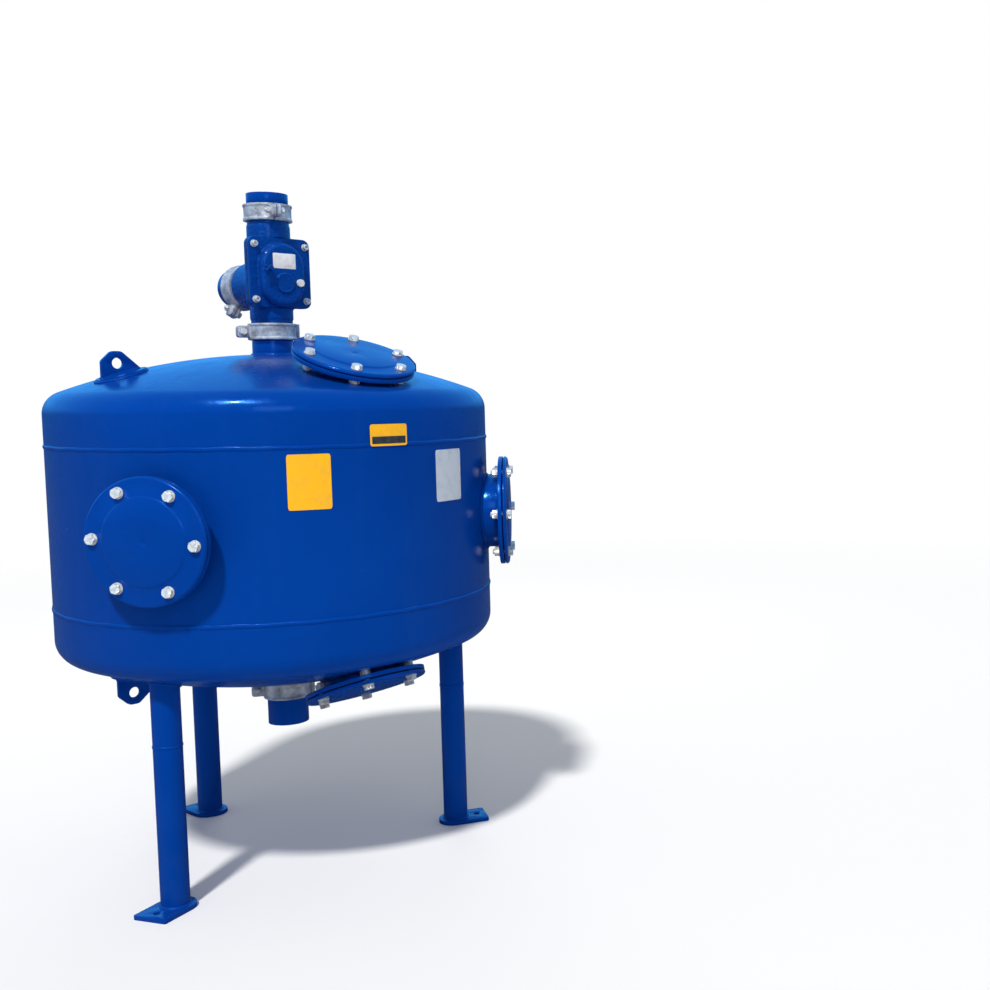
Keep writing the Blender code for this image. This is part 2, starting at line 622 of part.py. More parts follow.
def build_lugs(name, azimuth):
    """Upper and lower lifting lug: a radial plate on a round pad that fits the head."""
    upright = turn_z(azimuth) @ Matrix.Translation((LUG_HOLE_CIRCLE_RADIUS, LUG_THICKNESS / 2, 0))
    upright = upright @ Matrix.Rotation(math.radians(90), 4, "X")
    out, top = LUG_OUTER_REACH, LUG_TOP_REACH
    inner, foot = -LUG_INNER_REACH, -LUG_FOOT_DROP
    corners = [(out, foot), (out, top - LUG_OUTER_SLOPE_HEIGHT), (out - LUG_OUTER_SLOPE_WIDTH, top),
               (LUG_TOP_START, top), (inner, LUG_INNER_SLOPE_END), (inner + LUG_FOOT_TAPER, foot)]
    outline = rounded(corners, LUG_CORNERS, 1)
    pad_centre = turn_z(azimuth) @ Matrix.Translation((LUG_HOLE_CIRCLE_RADIUS - LUG_PAD_SETBACK, 0, 0))
    for level in ("upper", "lower"):
        height = LUG_HOLE_Z
        hole = circle(LUG_HOLE_RADIUS, LUG_HOLE_SEGMENTS)
        blade = plate([outline, hole], LUG_THICKNESS, Matrix.Translation((0, 0, height)) @ upright)
        cut(blade, head_envelope(LUG_PAD_THICKNESS / 2))
        pad = rod(LUG_PAD_RADIUS, TANGENT_Z, APEX_Z, LUG_PAD_SEGMENTS, pad_centre)
        keep_inside(pad, head_envelope(LUG_PAD_THICKNESS))
        cut(pad, head_envelope(SEAT))
        lug = fuse(blade, pad)
        part = finish_part(level + "_lug_" + name, lug, BLUE_ENAMEL)
        if level == "lower":
            flip_down(part)


def flip_down(part):
    """Mirror a part's mesh to the vessel's underside."""
    mesh = part.data
    mesh.transform(part.matrix_world)
    mesh.transform(MIRROR_DOWN)
    mesh.flip_normals()
    part.matrix_world = Matrix.Identity(4)


def strainer_places():
    places = []
    for ring, count in enumerate(STRAINER_COUNTS):
        places += circle(STRAINER_RIM_RADIUS * ring / (len(STRAINER_COUNTS) - 1), count)
    return places


def build_inside():
    """False bottom with its strainers, the sand over them, and the diffuser on the inlet neck."""
    radius = TANK_RADIUS - TANK_WALL - SEAT
    low, high = NOZZLE_PLATE_Z, NOZZLE_PLATE_Z + NOZZLE_PLATE_THICKNESS
    false_bottom = turned([(0, high), (radius, high), (radius, low), (0, low)], TANK_SEGMENTS)
    cap, tail = STRAINER_RADIUS, STRAINER_TAIL_RADIUS
    middle = (low + high) / 2
    peak = high + STRAINER_HEIGHT
    sand_foot = high + SEAT
    sand = turned([(0, SAND_TOP_Z), (radius, SAND_TOP_Z), (radius, sand_foot), (0, sand_foot)], TANK_SEGMENTS)
    for x, y in strainer_places():
        place = Matrix.Translation((x, y, 0))
        fuse(false_bottom, turned([(0, peak), (cap, peak - cap / 2), (cap, middle), (tail, middle),
                                   (tail, low - STRAINER_TAIL), (0, low - STRAINER_TAIL)],
                                  STRAINER_SEGMENTS, place))
        cut(sand, turned([(0, peak + SEAT), (cap + SEAT, peak - cap / 2 + SEAT), (cap + SEAT, middle),
                          (0, middle)], STRAINER_SEGMENTS, place))
    cut(sand, neck_hole(HATCH_PLACES["front"]), neck_hole(HATCH_PLACES["side"]))
    finish_part("nozzle_plate", false_bottom, STAINLESS)
    finish_part("sand_bed", sand, SAND)

    neck_end = APEX_Z - NECK_INSIDE
    bore = PIPE_RADIUS + SEAT
    collar = bore + DIFFUSER_WALL
    window_top = neck_end - SEAT
    plate_top = neck_end - DIFFUSER_DROP
    diffuser = turned([(0, plate_top), (PIPE_BORE, plate_top), (PIPE_BORE, window_top), (bore, window_top),
                       (bore, neck_end + NECK_INSIDE / 2), (collar, neck_end + NECK_INSIDE / 2),
                       (collar, plate_top), (DIFFUSER_RADIUS, plate_top),
                       (DIFFUSER_RADIUS, plate_top - DIFFUSER_WALL), (0, plate_top - DIFFUSER_WALL)],
                      PIPE_SEGMENTS)
    for turn in (0, 90):
        cut(diffuser, block((-2 * collar, -DIFFUSER_WINDOW, plate_top + SEAT),
                            (2 * collar, DIFFUSER_WINDOW, window_top - DIFFUSER_BAND), turn_z(turn)))
    finish_part("inlet_diffuser", diffuser, STAINLESS)


# Valve frame: local Z runs along the plunger to the front, local Y is up
VALVE_PLACE = Matrix.Translation((0, 0, PLUNGER_Z)) @ Matrix.Rotation(math.radians(90), 4, "X")


def cover_outline():
    half_width, half_height = COVER_WIDTH / 2, COVER_HEIGHT / 2
    low, high = COVER_RISE - half_height, COVER_RISE + half_height
    corners = [(-half_width, low), (half_width, low), (half_width, high), (-half_width, high)]
    return rounded(corners, [COVER_CORNER] * 4, COVER_CORNER_STEPS)


def screw_places():
    return [(x, COVER_RISE + z) for x in (-COVER_SCREW_X, COVER_SCREW_X)
            for z in (-COVER_SCREW_Z, COVER_SCREW_Z)]


def screw_holes():
    return [circle(COVER_SCREW_RADIUS, COVER_SCREW_SEGMENTS, place) for place in screw_places()]


def raised(height):
    return VALVE_PLACE @ Matrix.Translation((0, 0, height))


def build_valve_body():
    """Casting with a supply port on top, the tank's port below and the drain port at the rear."""
    half_gap = PIPE_END_GAP / 2
    up = VALVE_PLACE @ Matrix.Rotation(math.radians(-90), 4, "X")
    port_top = SUPPLY_COUPLING_Z - PLUNGER_Z - half_gap
    port_bottom = TANK_COUPLING_Z - PLUNGER_Z + half_gap
    barrel_top, barrel_bottom = port_top - PORT_BARREL_MARGIN, port_bottom + PORT_BARREL_MARGIN
    step = PORT_BARREL_RADIUS - PIPE_RADIUS
    outline = ([(0, port_top)] + grooved_end(port_top, -1) +
               [(PIPE_RADIUS, barrel_top + step), (PORT_BARREL_RADIUS, barrel_top),
                (PORT_BARREL_RADIUS, barrel_bottom), (PIPE_RADIUS, barrel_bottom - step)] +
               grooved_end(port_bottom, 1)[::-1] + [(0, port_bottom)])
    body = turned(outline, PIPE_SEGMENTS, up)

    drain_end = -DRAIN_REACH + half_gap
    flange_back = FLANGE_FACE - VALVE_FLANGE_THICKNESS
    taper_end = DRAIN_CHAMBER_BACK - DRAIN_TAPER
    barrel = turned([(0, FLANGE_FACE - SEAT), (SUPPLY_BARREL_RADIUS, FLANGE_FACE - SEAT),
                     (SUPPLY_BARREL_RADIUS, SUPPLY_WALL_BACK), (DRAIN_BARREL_RADIUS, SUPPLY_WALL_BACK * 2),
                     (DRAIN_BARREL_RADIUS, DRAIN_CHAMBER_BACK), (PIPE_RADIUS, taper_end)] +
                    grooved_end(drain_end, 1)[::-1] + [(0, drain_end)], PIPE_SEGMENTS, VALVE_PLACE)
    flange = plate([cover_outline()] + screw_holes(), VALVE_FLANGE_THICKNESS, raised(flange_back))
    shoulder = SUPPLY_BARREL_RADIUS
    bulge = block((-shoulder, 0, BULGE_BACK), (shoulder, COVER_RISE + COVER_SCREW_Z, flange_back + SEAT),
                  VALVE_PLACE, edge=BULGE_EDGE, edge_axis=(0, 0, 1))
    fuse(body, barrel, bulge, flange)
    cover_low, cover_high = COVER_RISE - COVER_HEIGHT / 2, COVER_RISE + COVER_HEIGHT / 2
    cut(body, block((-COVER_WIDTH, cover_low - COVER_SCREW_RADIUS / 2, FLANGE_FACE),
                    (COVER_WIDTH, cover_high + COVER_SCREW_RADIUS / 2, COVER_WIDTH), VALVE_PLACE))

    supply_floor = TANK_CHAMBER_RADIUS + VALVE_WALL
    throat_top = cover_high + VALVE_WALL
    tank_roof = cover_low - VALVE_WALL
    duct = DUCT_HALF_WIDTH
    room = SLEEVE_RADIUS + 2 * SEAT
    supply_bore = rod(PIPE_BORE, throat_top, port_top + VALVE_WALL, PIPE_SEGMENTS, up)
    throat_place = raised(FLANGE_FACE - VALVE_WALL - THROAT_RADIUS)
    throat_place = throat_place @ Matrix.Rotation(math.radians(-90), 4, "X")
    throat = rod(THROAT_RADIUS, supply_floor, throat_top + SEAT, PIPE_SEGMENTS, throat_place)
    tank_bore = rod(PIPE_BORE, port_bottom - VALVE_WALL, tank_roof, PIPE_SEGMENTS, up)
    supply_duct = block((-duct, 0, SUPPLY_WALL_FRONT + SEAT), (duct, supply_floor + VALVE_WALL, SLEEVE_END),
                        VALVE_PLACE)
    tank_duct = block((-duct, tank_roof - VALVE_WALL, TANK_CHAMBER_BACK + SEAT),
                      (duct, 0, SUPPLY_WALL_BACK - SEAT), VALVE_PLACE)
    segments = PIPE_SEGMENTS
    hollows = [
        rod(room, SUPPLY_WALL_FRONT, FLANGE_FACE + VALVE_WALL, segments, VALVE_PLACE),
        rod(SUPPLY_SEAT_RADIUS + SEAT, SUPPLY_WALL_BACK - SEAT, SLEEVE_END, segments, VALVE_PLACE),
        rod(TANK_CHAMBER_RADIUS, TANK_CHAMBER_BACK, SUPPLY_WALL_BACK, segments, VALVE_PLACE),
        rod(DRAIN_SEAT_RADIUS, DRAIN_SEAT_BACK - SEAT, TANK_CHAMBER_BACK + SEAT, segments, VALVE_PLACE),
        turned([(0, DRAIN_SEAT_BACK), (DRAIN_CHAMBER_RADIUS, DRAIN_SEAT_BACK),
                (DRAIN_CHAMBER_RADIUS, DRAIN_CHAMBER_BACK), (PIPE_BORE, taper_end),
                (PIPE_BORE, drain_end - VALVE_WALL), (0, drain_end - VALVE_WALL)], segments, VALVE_PLACE),
    ]
    cut(body, supply_bore, throat, tank_bore, supply_duct, tank_duct, *hollows)
    finish_part("valve_body", body, BLUE_CASTING)


def build_valve_cover():
    """Bonnet: a plate with a rounded dome, the piston's bore and a sleeve that reaches into the body."""
    back = COVER_FACE - COVER_THICKNESS
    cover = plate([cover_outline()] + screw_holes(), COVER_THICKNESS, raised(back))
    low = -DOME_RADIUS
    high = DOME_TALL + DOME_RADIUS
    corners = [(-DOME_RADIUS, low), (DOME_RADIUS, low), (DOME_RADIUS, high), (-DOME_RADIUS, high)]
    dome_outline = rounded(corners, [DOME_CORNER] * 4, DOME_CORNER_STEPS)
    dome = plate([dome_outline], DOME_RISE + COVER_THICKNESS / 2,
                 raised(COVER_FACE - COVER_THICKNESS / 2), edge=DOME_EDGE, steps=2)
    boss = rod(BOSS_RADIUS, COVER_FACE, DOME_FACE + BOSS_RISE, BOSS_SEGMENTS, VALVE_PLACE)
    sleeve = rod(SLEEVE_RADIUS, SLEEVE_END, back + COVER_THICKNESS / 2, PIPE_SEGMENTS, VALVE_PLACE)
    fuse(cover, dome, boss, sleeve)
    cut(cover, rod(PISTON_BORE, SLEEVE_END - VALVE_WALL, BORE_END, PIPE_SEGMENTS, VALVE_PLACE))
    for x, rise in ((FITTING_X, FITTING_RISE), (PLUG_X, PLUG_RISE)):
        port = VALVE_PLACE @ Matrix.Translation((x, rise, 0))
        cut(cover, rod(FITTING_THREAD_RADIUS + SEAT, COVER_FACE, DOME_FACE + BOSS_RISE,
                       FITTING_SEGMENTS, port))
    finish_part("valve_cover", cover, BLUE_CASTING)

    hole = circle(SLEEVE_RADIUS + 2 * SEAT, PIPE_SEGMENTS)
    gasket = plate([cover_outline(), hole] + screw_holes(), COVER_GASKET_THICKNESS,
                   raised(GASKET_FACE - COVER_GASKET_THICKNESS))
    finish_part("cover_gasket", gasket, BLACK_RUBBER)

    seat = DOME_FACE + SEAT
    thread, hexagon, hose = FITTING_THREAD_RADIUS, FITTING_HEX_RADIUS, FITTING_HOSE_RADIUS
    place = VALVE_PLACE @ Matrix.Translation((FITTING_X, FITTING_RISE, 0))
    shoulder, tip = FITTING_SHOULDER_RADIUS, seat + FITTING_LENGTH
    hexagon_top, thread_end = seat + FITTING_HEX_HEIGHT, seat - FITTING_THREAD_DEPTH
    fitting = turned([(0, tip), (thread, tip), (shoulder, seat + FITTING_SHOULDER_HEIGHT),
                      (shoulder, hexagon_top), (hexagon, hexagon_top), (hexagon, seat), (thread, seat),
                      (thread, thread_end), (0, thread_end)], FITTING_SEGMENTS, place)
    barb = place @ Matrix.Translation((0, 0, seat + HOSE_END_HEIGHT))
    barb = barb @ Matrix.Rotation(math.radians(HOSE_END_LEAN), 4, "Y")
    barb = barb @ Matrix.Rotation(math.radians(HOSE_END_RISE), 4, "X")
    fuse(fitting, rod(hose, 0, FITTING_LENGTH, HOSE_END_SEGMENTS, barb))
    finish_part("control_fitting", fitting, BLUE_CASTING)

    place = VALVE_PLACE @ Matrix.Translation((PLUG_X, PLUG_RISE, 0))
    plug = turned([(0, seat + PLUG_LENGTH), (hexagon, seat + PLUG_LENGTH), (hexagon, seat), (thread, seat),
                   (thread, thread_end), (0, thread_end)], PLUG_SEGMENTS, place)
    finish_part("vent_plug", plug, WHITE_PLASTIC)


def build_plunger():
    """Piston, two sealing discs and their stem, which slide together; and the seat that guides them."""
    frame = add_empty("plunger_axis", VALVE_PLACE)
    bore = STEM_RADIUS + SEAT
    piston_back = PISTON_FRONT - PISTON_THICKNESS
    supply_front = SUPPLY_DISC_BACK + DISC_THICKNESS
    shank, collar, stem_end = STEM_RADIUS, STEM_COLLAR_RADIUS, STEM_BACK - DISC_THICKNESS
    stem = turned([(0, PISTON_FRONT), (shank, PISTON_FRONT), (shank, piston_back - SEAT),
                   (collar, piston_back - SEAT), (collar, supply_front + SEAT), (shank, supply_front + SEAT),
                   (shank, STEM_BACK), (collar, STEM_BACK), (collar, stem_end), (0, stem_end)],
                  STEM_SEGMENTS, VALVE_PLACE)
    finish_part("plunger_stem", stem, STAINLESS, frame)

    segments = PIPE_SEGMENTS
    middle = (PISTON_FRONT + piston_back) / 2
    groove = PISTON_RADIUS - SEAL_DEPTH
    high, low = middle + SEAL_WIDTH / 2, middle - SEAL_WIDTH / 2
    rim = PISTON_RADIUS - 2 * SEAT
    piston = turned([(rim, PISTON_FRONT), (rim, high), (groove, high), (groove, low), (rim, low),
                     (rim, piston_back), (bore, piston_back), (bore, PISTON_FRONT)], segments, VALVE_PLACE)
    finish_part("piston", piston, BLACK_PLASTIC, frame)
    seal = turned([(PISTON_RADIUS, high - SEAT), (PISTON_RADIUS, low + SEAT), (groove + SEAT, low + SEAT),
                   (groove + SEAT, high - SEAT)], segments, VALVE_PLACE)
    finish_part("piston_seal", seal, BLACK_RUBBER, frame)

    for name, radius, back in (("supply_disc", SUPPLY_DISC_RADIUS, SUPPLY_DISC_BACK),
                               ("drain_disc", DRAIN_DISC_RADIUS, DRAIN_SEAT_BACK - SEAT - DISC_THICKNESS)):
        front = back + DISC_THICKNESS
        disc = turned([(radius, front), (radius, back), (bore, back), (bore, front)], segments, VALVE_PLACE)
        finish_part(name, disc, BLACK_RUBBER, frame)

    outer, inner = SUPPLY_SEAT_RADIUS, SUPPLY_SEAT_RADIUS - SUPPLY_SEAT_WALL
    lip, back = SUPPLY_SEAT_LIP, SUPPLY_WALL_BACK
    ring = turned([(outer, lip), (outer, back), (inner, back), (inner, lip)], segments, VALVE_PLACE)
    for turn in SEAT_RIB_TURNS:
        rib = VALVE_PLACE @ turn_z(turn)
        fuse(ring, block((-inner - SUPPLY_SEAT_WALL / 2, -RIB_WIDTH / 2, back + SEAT),
                         (inner + SUPPLY_SEAT_WALL / 2, RIB_WIDTH / 2, back + HUB_LENGTH - SEAT), rib))
    fuse(ring, rod(HUB_RADIUS, back, back + HUB_LENGTH, STEM_SEGMENTS, VALVE_PLACE))
    cut(ring, rod(bore, back - HUB_LENGTH, back + 2 * HUB_LENGTH, STEM_SEGMENTS, VALVE_PLACE))
    finish_part("supply_seat", ring, BRONZE)


def build_coupling(name, pipe, ear_turn):
    """Hinged two-piece pipe clamp: local Z along the pipe, local X turned towards the bolted ears."""
    place = pipe @ turn_z(ear_turn)
    half = COUPLING_WIDTH / 2
    key = PIPE_RADIUS - GROOVE_DEPTH + SEAT
    wall, cavity = COUPLING_RADIUS, COUPLING_CAVITY_RADIUS
    inside = half - COUPLING_KEY_WIDTH
    section = [(wall, half), (wall, -half), (key, -half), (key, -inside), (cavity, -inside),
               (cavity, inside), (key, inside), (key, half)]
    split = COUPLING_SPLIT / 2
    thick, tall = COUPLING_EAR_THICKNESS, COUPLING_EAR_HEIGHT / 2
    barrel, pin, rounds = KNUCKLE_BARREL_RADIUS, KNUCKLE_PIN_RADIUS, KNUCKLE_BARREL_SEGMENTS
    hinge = place @ Matrix.Translation((-cavity - barrel - SEAT, 0, 0))
    middle = half / 3
    bolt = place @ Matrix.Translation((COUPLING_BOLT_REACH, 0, 0))
    bolt = bolt @ Matrix.Rotation(math.radians(90), 4, "X")
    for label, side in (("a", 1), ("b", -1)):
        housing = turned(section, PIPE_SEGMENTS, pipe)
        ear_low, ear_high = sorted((side * split, side * (split + thick)))
        fuse(housing, block((COUPLING_CAVITY_RADIUS + SEAT, ear_low, -tall),
                            (COUPLING_EAR_REACH, ear_high, tall), place,
                            edge=tall / 2, edge_axis=(0, 1, 0), steps=1))
        reach = 2 * COUPLING_RADIUS
        keep_inside(housing, block((-reach, min(0, side * reach) + max(0, side) * split, -half * 2),
                                   (reach, max(0, side * reach) + min(0, side) * split, half * 2), place))
        cut(housing, rod(COUPLING_BOLT_RADIUS, -reach, reach, KNUCKLE_PIN_SEGMENTS, bolt))
        if side > 0:
            cut(housing, rod(barrel + 2 * SEAT, -middle - SEAT, middle + SEAT, rounds, hinge))
            for low, high in ((-half, -middle - SEAT), (middle + SEAT, half)):
                fuse(housing, rod(barrel, low, high, rounds, hinge))
            cut(housing, rod(pin + SEAT, -half * 2, half * 2, KNUCKLE_PIN_SEGMENTS, hinge))
        else:
            for low, high in ((-half * 2, -middle), (middle, half * 2)):
                cut(housing, rod(barrel + 2 * SEAT, low, high, rounds, hinge))
            fuse(housing, rod(barrel, -middle, middle, rounds, hinge))
            fuse(housing, rod(pin, -half, half, KNUCKLE_PIN_SEGMENTS, hinge))
        finish_part(name + "_coupling_" + label, housing, CAST_ALLOY)
    width = COUPLING_GASKET_WIDTH / 2
    low, high = PIPE_RADIUS + SEAT, cavity - SEAT
    gasket = turned([(high, width), (high, -width), (low, -width), (low, width)], PIPE_SEGMENTS, pipe)
    finish_part(name + "_coupling_gasket", gasket, BLACK_RUBBER)


def build_couplings():
    pipes = {
        "tank": Matrix.Translation((0, 0, TANK_COUPLING_Z)),
        "supply": Matrix.Translation((0, 0, SUPPLY_COUPLING_Z)),
        "outlet": Matrix.Translation((0, 0, OUTLET_COUPLING_Z)),
        "drain": raised(-DRAIN_REACH),
    }
    for name, pipe in pipes.items():
        build_coupling(name, pipe, COUPLING_EAR_TURNS[name])


build_vessel()
build_necks_and_stubs()
for hatch, hatch_matrix in HATCH_PLACES.items():
    build_hatch(hatch, hatch_matrix)
for leg, leg_azimuth in LEG_AZIMUTHS.items():
    build_leg(leg, leg_azimuth)
for lug, lug_azimuth in LUG_AZIMUTHS.items():
    build_lugs(lug, lug_azimuth)
build_inside()
build_valve_body()
build_valve_cover()
build_plunger()
build_couplings()
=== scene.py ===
import json
import math

import bpy
from mathutils import Matrix, Vector


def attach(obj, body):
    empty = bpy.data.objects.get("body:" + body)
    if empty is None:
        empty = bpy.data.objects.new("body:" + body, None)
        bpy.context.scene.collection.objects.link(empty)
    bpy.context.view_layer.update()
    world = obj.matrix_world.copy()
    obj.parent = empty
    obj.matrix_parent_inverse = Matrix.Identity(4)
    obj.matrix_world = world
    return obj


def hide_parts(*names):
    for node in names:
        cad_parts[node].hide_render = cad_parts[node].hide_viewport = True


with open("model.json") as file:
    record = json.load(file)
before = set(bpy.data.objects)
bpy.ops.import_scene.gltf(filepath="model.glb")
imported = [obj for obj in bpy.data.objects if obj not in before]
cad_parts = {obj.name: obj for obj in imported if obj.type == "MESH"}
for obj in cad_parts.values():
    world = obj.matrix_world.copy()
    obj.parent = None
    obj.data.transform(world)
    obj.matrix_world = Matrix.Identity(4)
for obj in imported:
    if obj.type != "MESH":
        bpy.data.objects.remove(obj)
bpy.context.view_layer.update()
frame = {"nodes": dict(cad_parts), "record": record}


# Vessel
# Two dished ends butt-welded to a rolled shell of 6 mm steel plate, blasted and coated outside
# with a glossy deep-blue enamel. The bead of each girth seam stays proud of the wall.
TANK_RADIUS, TANK_WALL = 0.600, 0.006
MIDDLE_Z, SEAM_HALF, TANGENT_Z = 0.998, 0.222, 1.307
CROWN_RADIUS, KNUCKLE_RADIUS = 1.560, 0.064
CROWN_TILT = math.asin((TANK_RADIUS - KNUCKLE_RADIUS) / (CROWN_RADIUS - KNUCKLE_RADIUS))
CROWN_CENTRE_Z = TANGENT_Z - (CROWN_RADIUS - KNUCKLE_RADIUS) * math.cos(CROWN_TILT)
APEX_Z = CROWN_CENTRE_Z + CROWN_RADIUS
LOWER_TANGENT_Z = 2 * MIDDLE_Z - TANGENT_Z
TOUCHING = 0.00001


def to_edit(piece):
    bpy.ops.object.select_all(action="DESELECT")
    piece.select_set(True)
    bpy.context.view_layer.objects.active = piece
    bpy.ops.object.mode_set(mode="EDIT")
    bpy.ops.mesh.select_all(action="SELECT")


def to_object():
    bpy.ops.object.mode_set(mode="OBJECT")


def turned_piece(name, outline, steps):
    """Closed (radius, height) outline spun round the Z axis."""
    bpy.ops.object.select_all(action="DESELECT")
    bpy.ops.mesh.primitive_circle_add(vertices=len(outline), radius=1, fill_type="NOTHING")
    piece = bpy.context.object
    piece.name = name
    for corner, (radius, height) in zip(piece.data.vertices, outline):
        corner.co = (radius, 0, height)
    to_edit(piece)
    bpy.ops.mesh.spin(steps=steps, angle=2 * math.pi, center=(0, 0, 0), axis=(0, 0, 1))
    bpy.ops.mesh.select_all(action="SELECT")
    bpy.ops.mesh.remove_doubles(threshold=TOUCHING)
    bpy.ops.mesh.delete_loose(use_verts=True, use_edges=True, use_faces=False)
    bpy.ops.mesh.select_all(action="SELECT")
    bpy.ops.mesh.normals_make_consistent(inside=False)
    to_object()
    return piece


def ease_edges(piece, width, segments=2, angle=32):
    """Break the sharp edges and shade the rest smooth."""
    bpy.ops.object.select_all(action="DESELECT")
    piece.select_set(True)
    bpy.context.view_layer.objects.active = piece
    if width:
        bevel = piece.modifiers.new("Eased edges", "BEVEL")
        bevel.width = width
        bevel.segments = segments
        bevel.limit_method = "ANGLE"
        bevel.angle_limit = math.radians(angle)
        bpy.ops.object.modifier_apply(modifier=bevel.name)
    bpy.ops.object.shade_smooth_by_angle(angle=math.radians(angle))
    return piece


def settle(piece, place):
    """Move a piece's mesh, so the object itself stays at the origin."""
    piece.data.transform(place)
    if place.determinant() < 0:
        piece.data.flip_normals()
    return piece


def spare(piece, name, place):
    """Another piece from the same pattern, with its own mesh."""
    twin = piece.copy()
    twin.data = piece.data.copy()
    twin.name = name
    bpy.context.scene.collection.objects.link(twin)
    return settle(twin, place)


def combine(piece, other, operation):
    """Cut, fuse or trim a piece with another one, which is used up."""
    bpy.ops.object.select_all(action="DESELECT")
    piece.select_set(True)
    bpy.context.view_layer.objects.active = piece
    boolean = piece.modifiers.new("Shape", "BOOLEAN")
    boolean.operation = operation
    boolean.solver = "EXACT"
    boolean.object = other
    bpy.ops.object.modifier_apply(modifier=boolean.name)
    bpy.data.objects.remove(other)
    return piece


def join(name, pieces):
    bpy.ops.object.select_all(action="DESELECT")
    for piece in pieces:
        piece.select_set(True)
    bpy.context.view_layer.objects.active = pieces[0]
    bpy.ops.object.join()
    joined = bpy.context.object
    joined.name = name
    return joined


def dress(piece, material, slot, *nodes, body="vessel"):
    piece.data.materials.clear()
    piece.data.materials.append(material)
    if nodes:
        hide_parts(*nodes)
    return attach(piece, body)


def top_height(radius, offset=0.0):
    """Height of the upper head's outer face at a distance from the tank's axis."""
    if radius <= (CROWN_RADIUS + offset) * math.sin(CROWN_TILT):
        return CROWN_CENTRE_Z + math.sqrt((CROWN_RADIUS + offset) ** 2 - radius ** 2)
    across = min(radius - (TANK_RADIUS - KNUCKLE_RADIUS), KNUCKLE_RADIUS + offset)
    return TANGENT_Z + math.sqrt((KNUCKLE_RADIUS + offset) ** 2 - across ** 2)


def head_line(offset, crown_steps=26, knuckle_steps=12):
    points = []
    for step in range(crown_steps):
        angle = CROWN_TILT * step / crown_steps
        points.append(((CROWN_RADIUS + offset) * math.sin(angle),
                       CROWN_CENTRE_Z + (CROWN_RADIUS + offset) * math.cos(angle)))
    for step in range(knuckle_steps + 1):
        angle = CROWN_TILT + (math.pi / 2 - CROWN_TILT) * step / knuckle_steps
        points.append((TANK_RADIUS - KNUCKLE_RADIUS + (KNUCKLE_RADIUS + offset) * math.sin(angle),
                       TANGENT_Z + (KNUCKLE_RADIUS + offset) * math.cos(angle)))
    return points


def envelope(offset, steps=96):
    """The whole vessel as one solid, set off from its outer face, to trim what is fitted to it."""
    upper = head_line(offset, 14, 8)
    lower = [(radius, 2 * MIDDLE_Z - height) for radius, height in upper[::-1]]
    return turned_piece("envelope", upper + lower, steps)


def effect_group(name, inputs, outputs):
    """Empty node group with its named sockets, and its two end nodes."""
    group = bpy.data.node_groups.new(name, "ShaderNodeTree")
    for label, kind, value in inputs:
        socket = group.interface.new_socket(name=label, in_out="INPUT", socket_type=kind)
        if value is not None:
            socket.default_value = value
    for label, kind in outputs:
        group.interface.new_socket(name=label, in_out="OUTPUT", socket_type=kind)
    return group, group.nodes.new("NodeGroupInput"), group.nodes.new("NodeGroupOutput")


def noise_in(tree, vector, scale, detail=4.0, roughness=0.55):
    noise = tree.nodes.new("ShaderNodeTexNoise")
    noise.inputs["Scale"].default_value = scale
    noise.inputs["Detail"].default_value = detail
    noise.inputs["Roughness"].default_value = roughness
    tree.links.new(vector, noise.inputs["Vector"])
    return noise.outputs["Fac"]


def spread(tree, value, low, high, to_low=0.0, to_high=1.0):
    ranged = tree.nodes.new("ShaderNodeMapRange")
    ranged.inputs["From Min"].default_value = low
    ranged.inputs["From Max"].default_value = high
    ranged.inputs["To Min"].default_value = to_low
    ranged.inputs["To Max"].default_value = to_high
    tree.links.new(value, ranged.inputs["Value"])
    return ranged.outputs["Result"]


def calc(tree, operation, first, second):
    sum_node = tree.nodes.new("ShaderNodeMath")
    sum_node.operation = operation
    for socket, value in zip(sum_node.inputs, (first, second)):
        if isinstance(value, (int, float)):
            socket.default_value = value
        else:
            tree.links.new(value, socket)
    return sum_node.outputs["Value"]


def tint(tree, mask, first, second):
    mix = tree.nodes.new("ShaderNodeMix")
    mix.data_type = "RGBA"
    tree.links.new(mask, mix.inputs[0])
    for socket, value in ((mix.inputs[6], first), (mix.inputs[7], second)):
        if isinstance(value, tuple):
            socket.default_value = (*value, 1.0)
        else:
            tree.links.new(value, socket)
    return mix.outputs[2]


# Yard dust: settles on faces that look up and near the floor, with rain streaks down the sides
dust_group, dust_in, dust_out = effect_group(
    "yard_dust", [("Vector", "NodeSocketVector", None), ("Normal", "NodeSocketVector", None),
                  ("Amount", "NodeSocketFloat", 0.5)],
    [("Mask", "NodeSocketFloat")])
split_normal = dust_group.nodes.new("ShaderNodeSeparateXYZ")
dust_group.links.new(dust_in.outputs["Normal"], split_normal.inputs[0])
split_place = dust_group.nodes.new("ShaderNodeSeparateXYZ")
dust_group.links.new(dust_in.outputs["Vector"], split_place.inputs[0])
looks_up = spread(dust_group, split_normal.outputs["Z"], low=0.55, high=1.0)
near_floor = spread(dust_group, split_place.outputs["Z"], low=0.35, high=0.0)
patches = noise_in(dust_group, dust_in.outputs["Vector"], 9.0, 7.0, 0.65)
patches = spread(dust_group, patches, low=0.42, high=0.70)
streak_map = dust_group.nodes.new("ShaderNodeMapping")
streak_map.inputs["Scale"].default_value = (26.0, 26.0, 1.3)
dust_group.links.new(dust_in.outputs["Vector"], streak_map.inputs["Vector"])
streaks = noise_in(dust_group, streak_map.outputs["Vector"], 1.0, 3.0)
streaks = spread(dust_group, streaks, low=0.55, high=0.78)
settled = calc(dust_group, "MAXIMUM", looks_up, near_floor)
settled = calc(dust_group, "MULTIPLY", settled, patches)
streak_share = 0.22
settled = calc(dust_group, "ADD", settled, calc(dust_group, "MULTIPLY", streaks, streak_share))
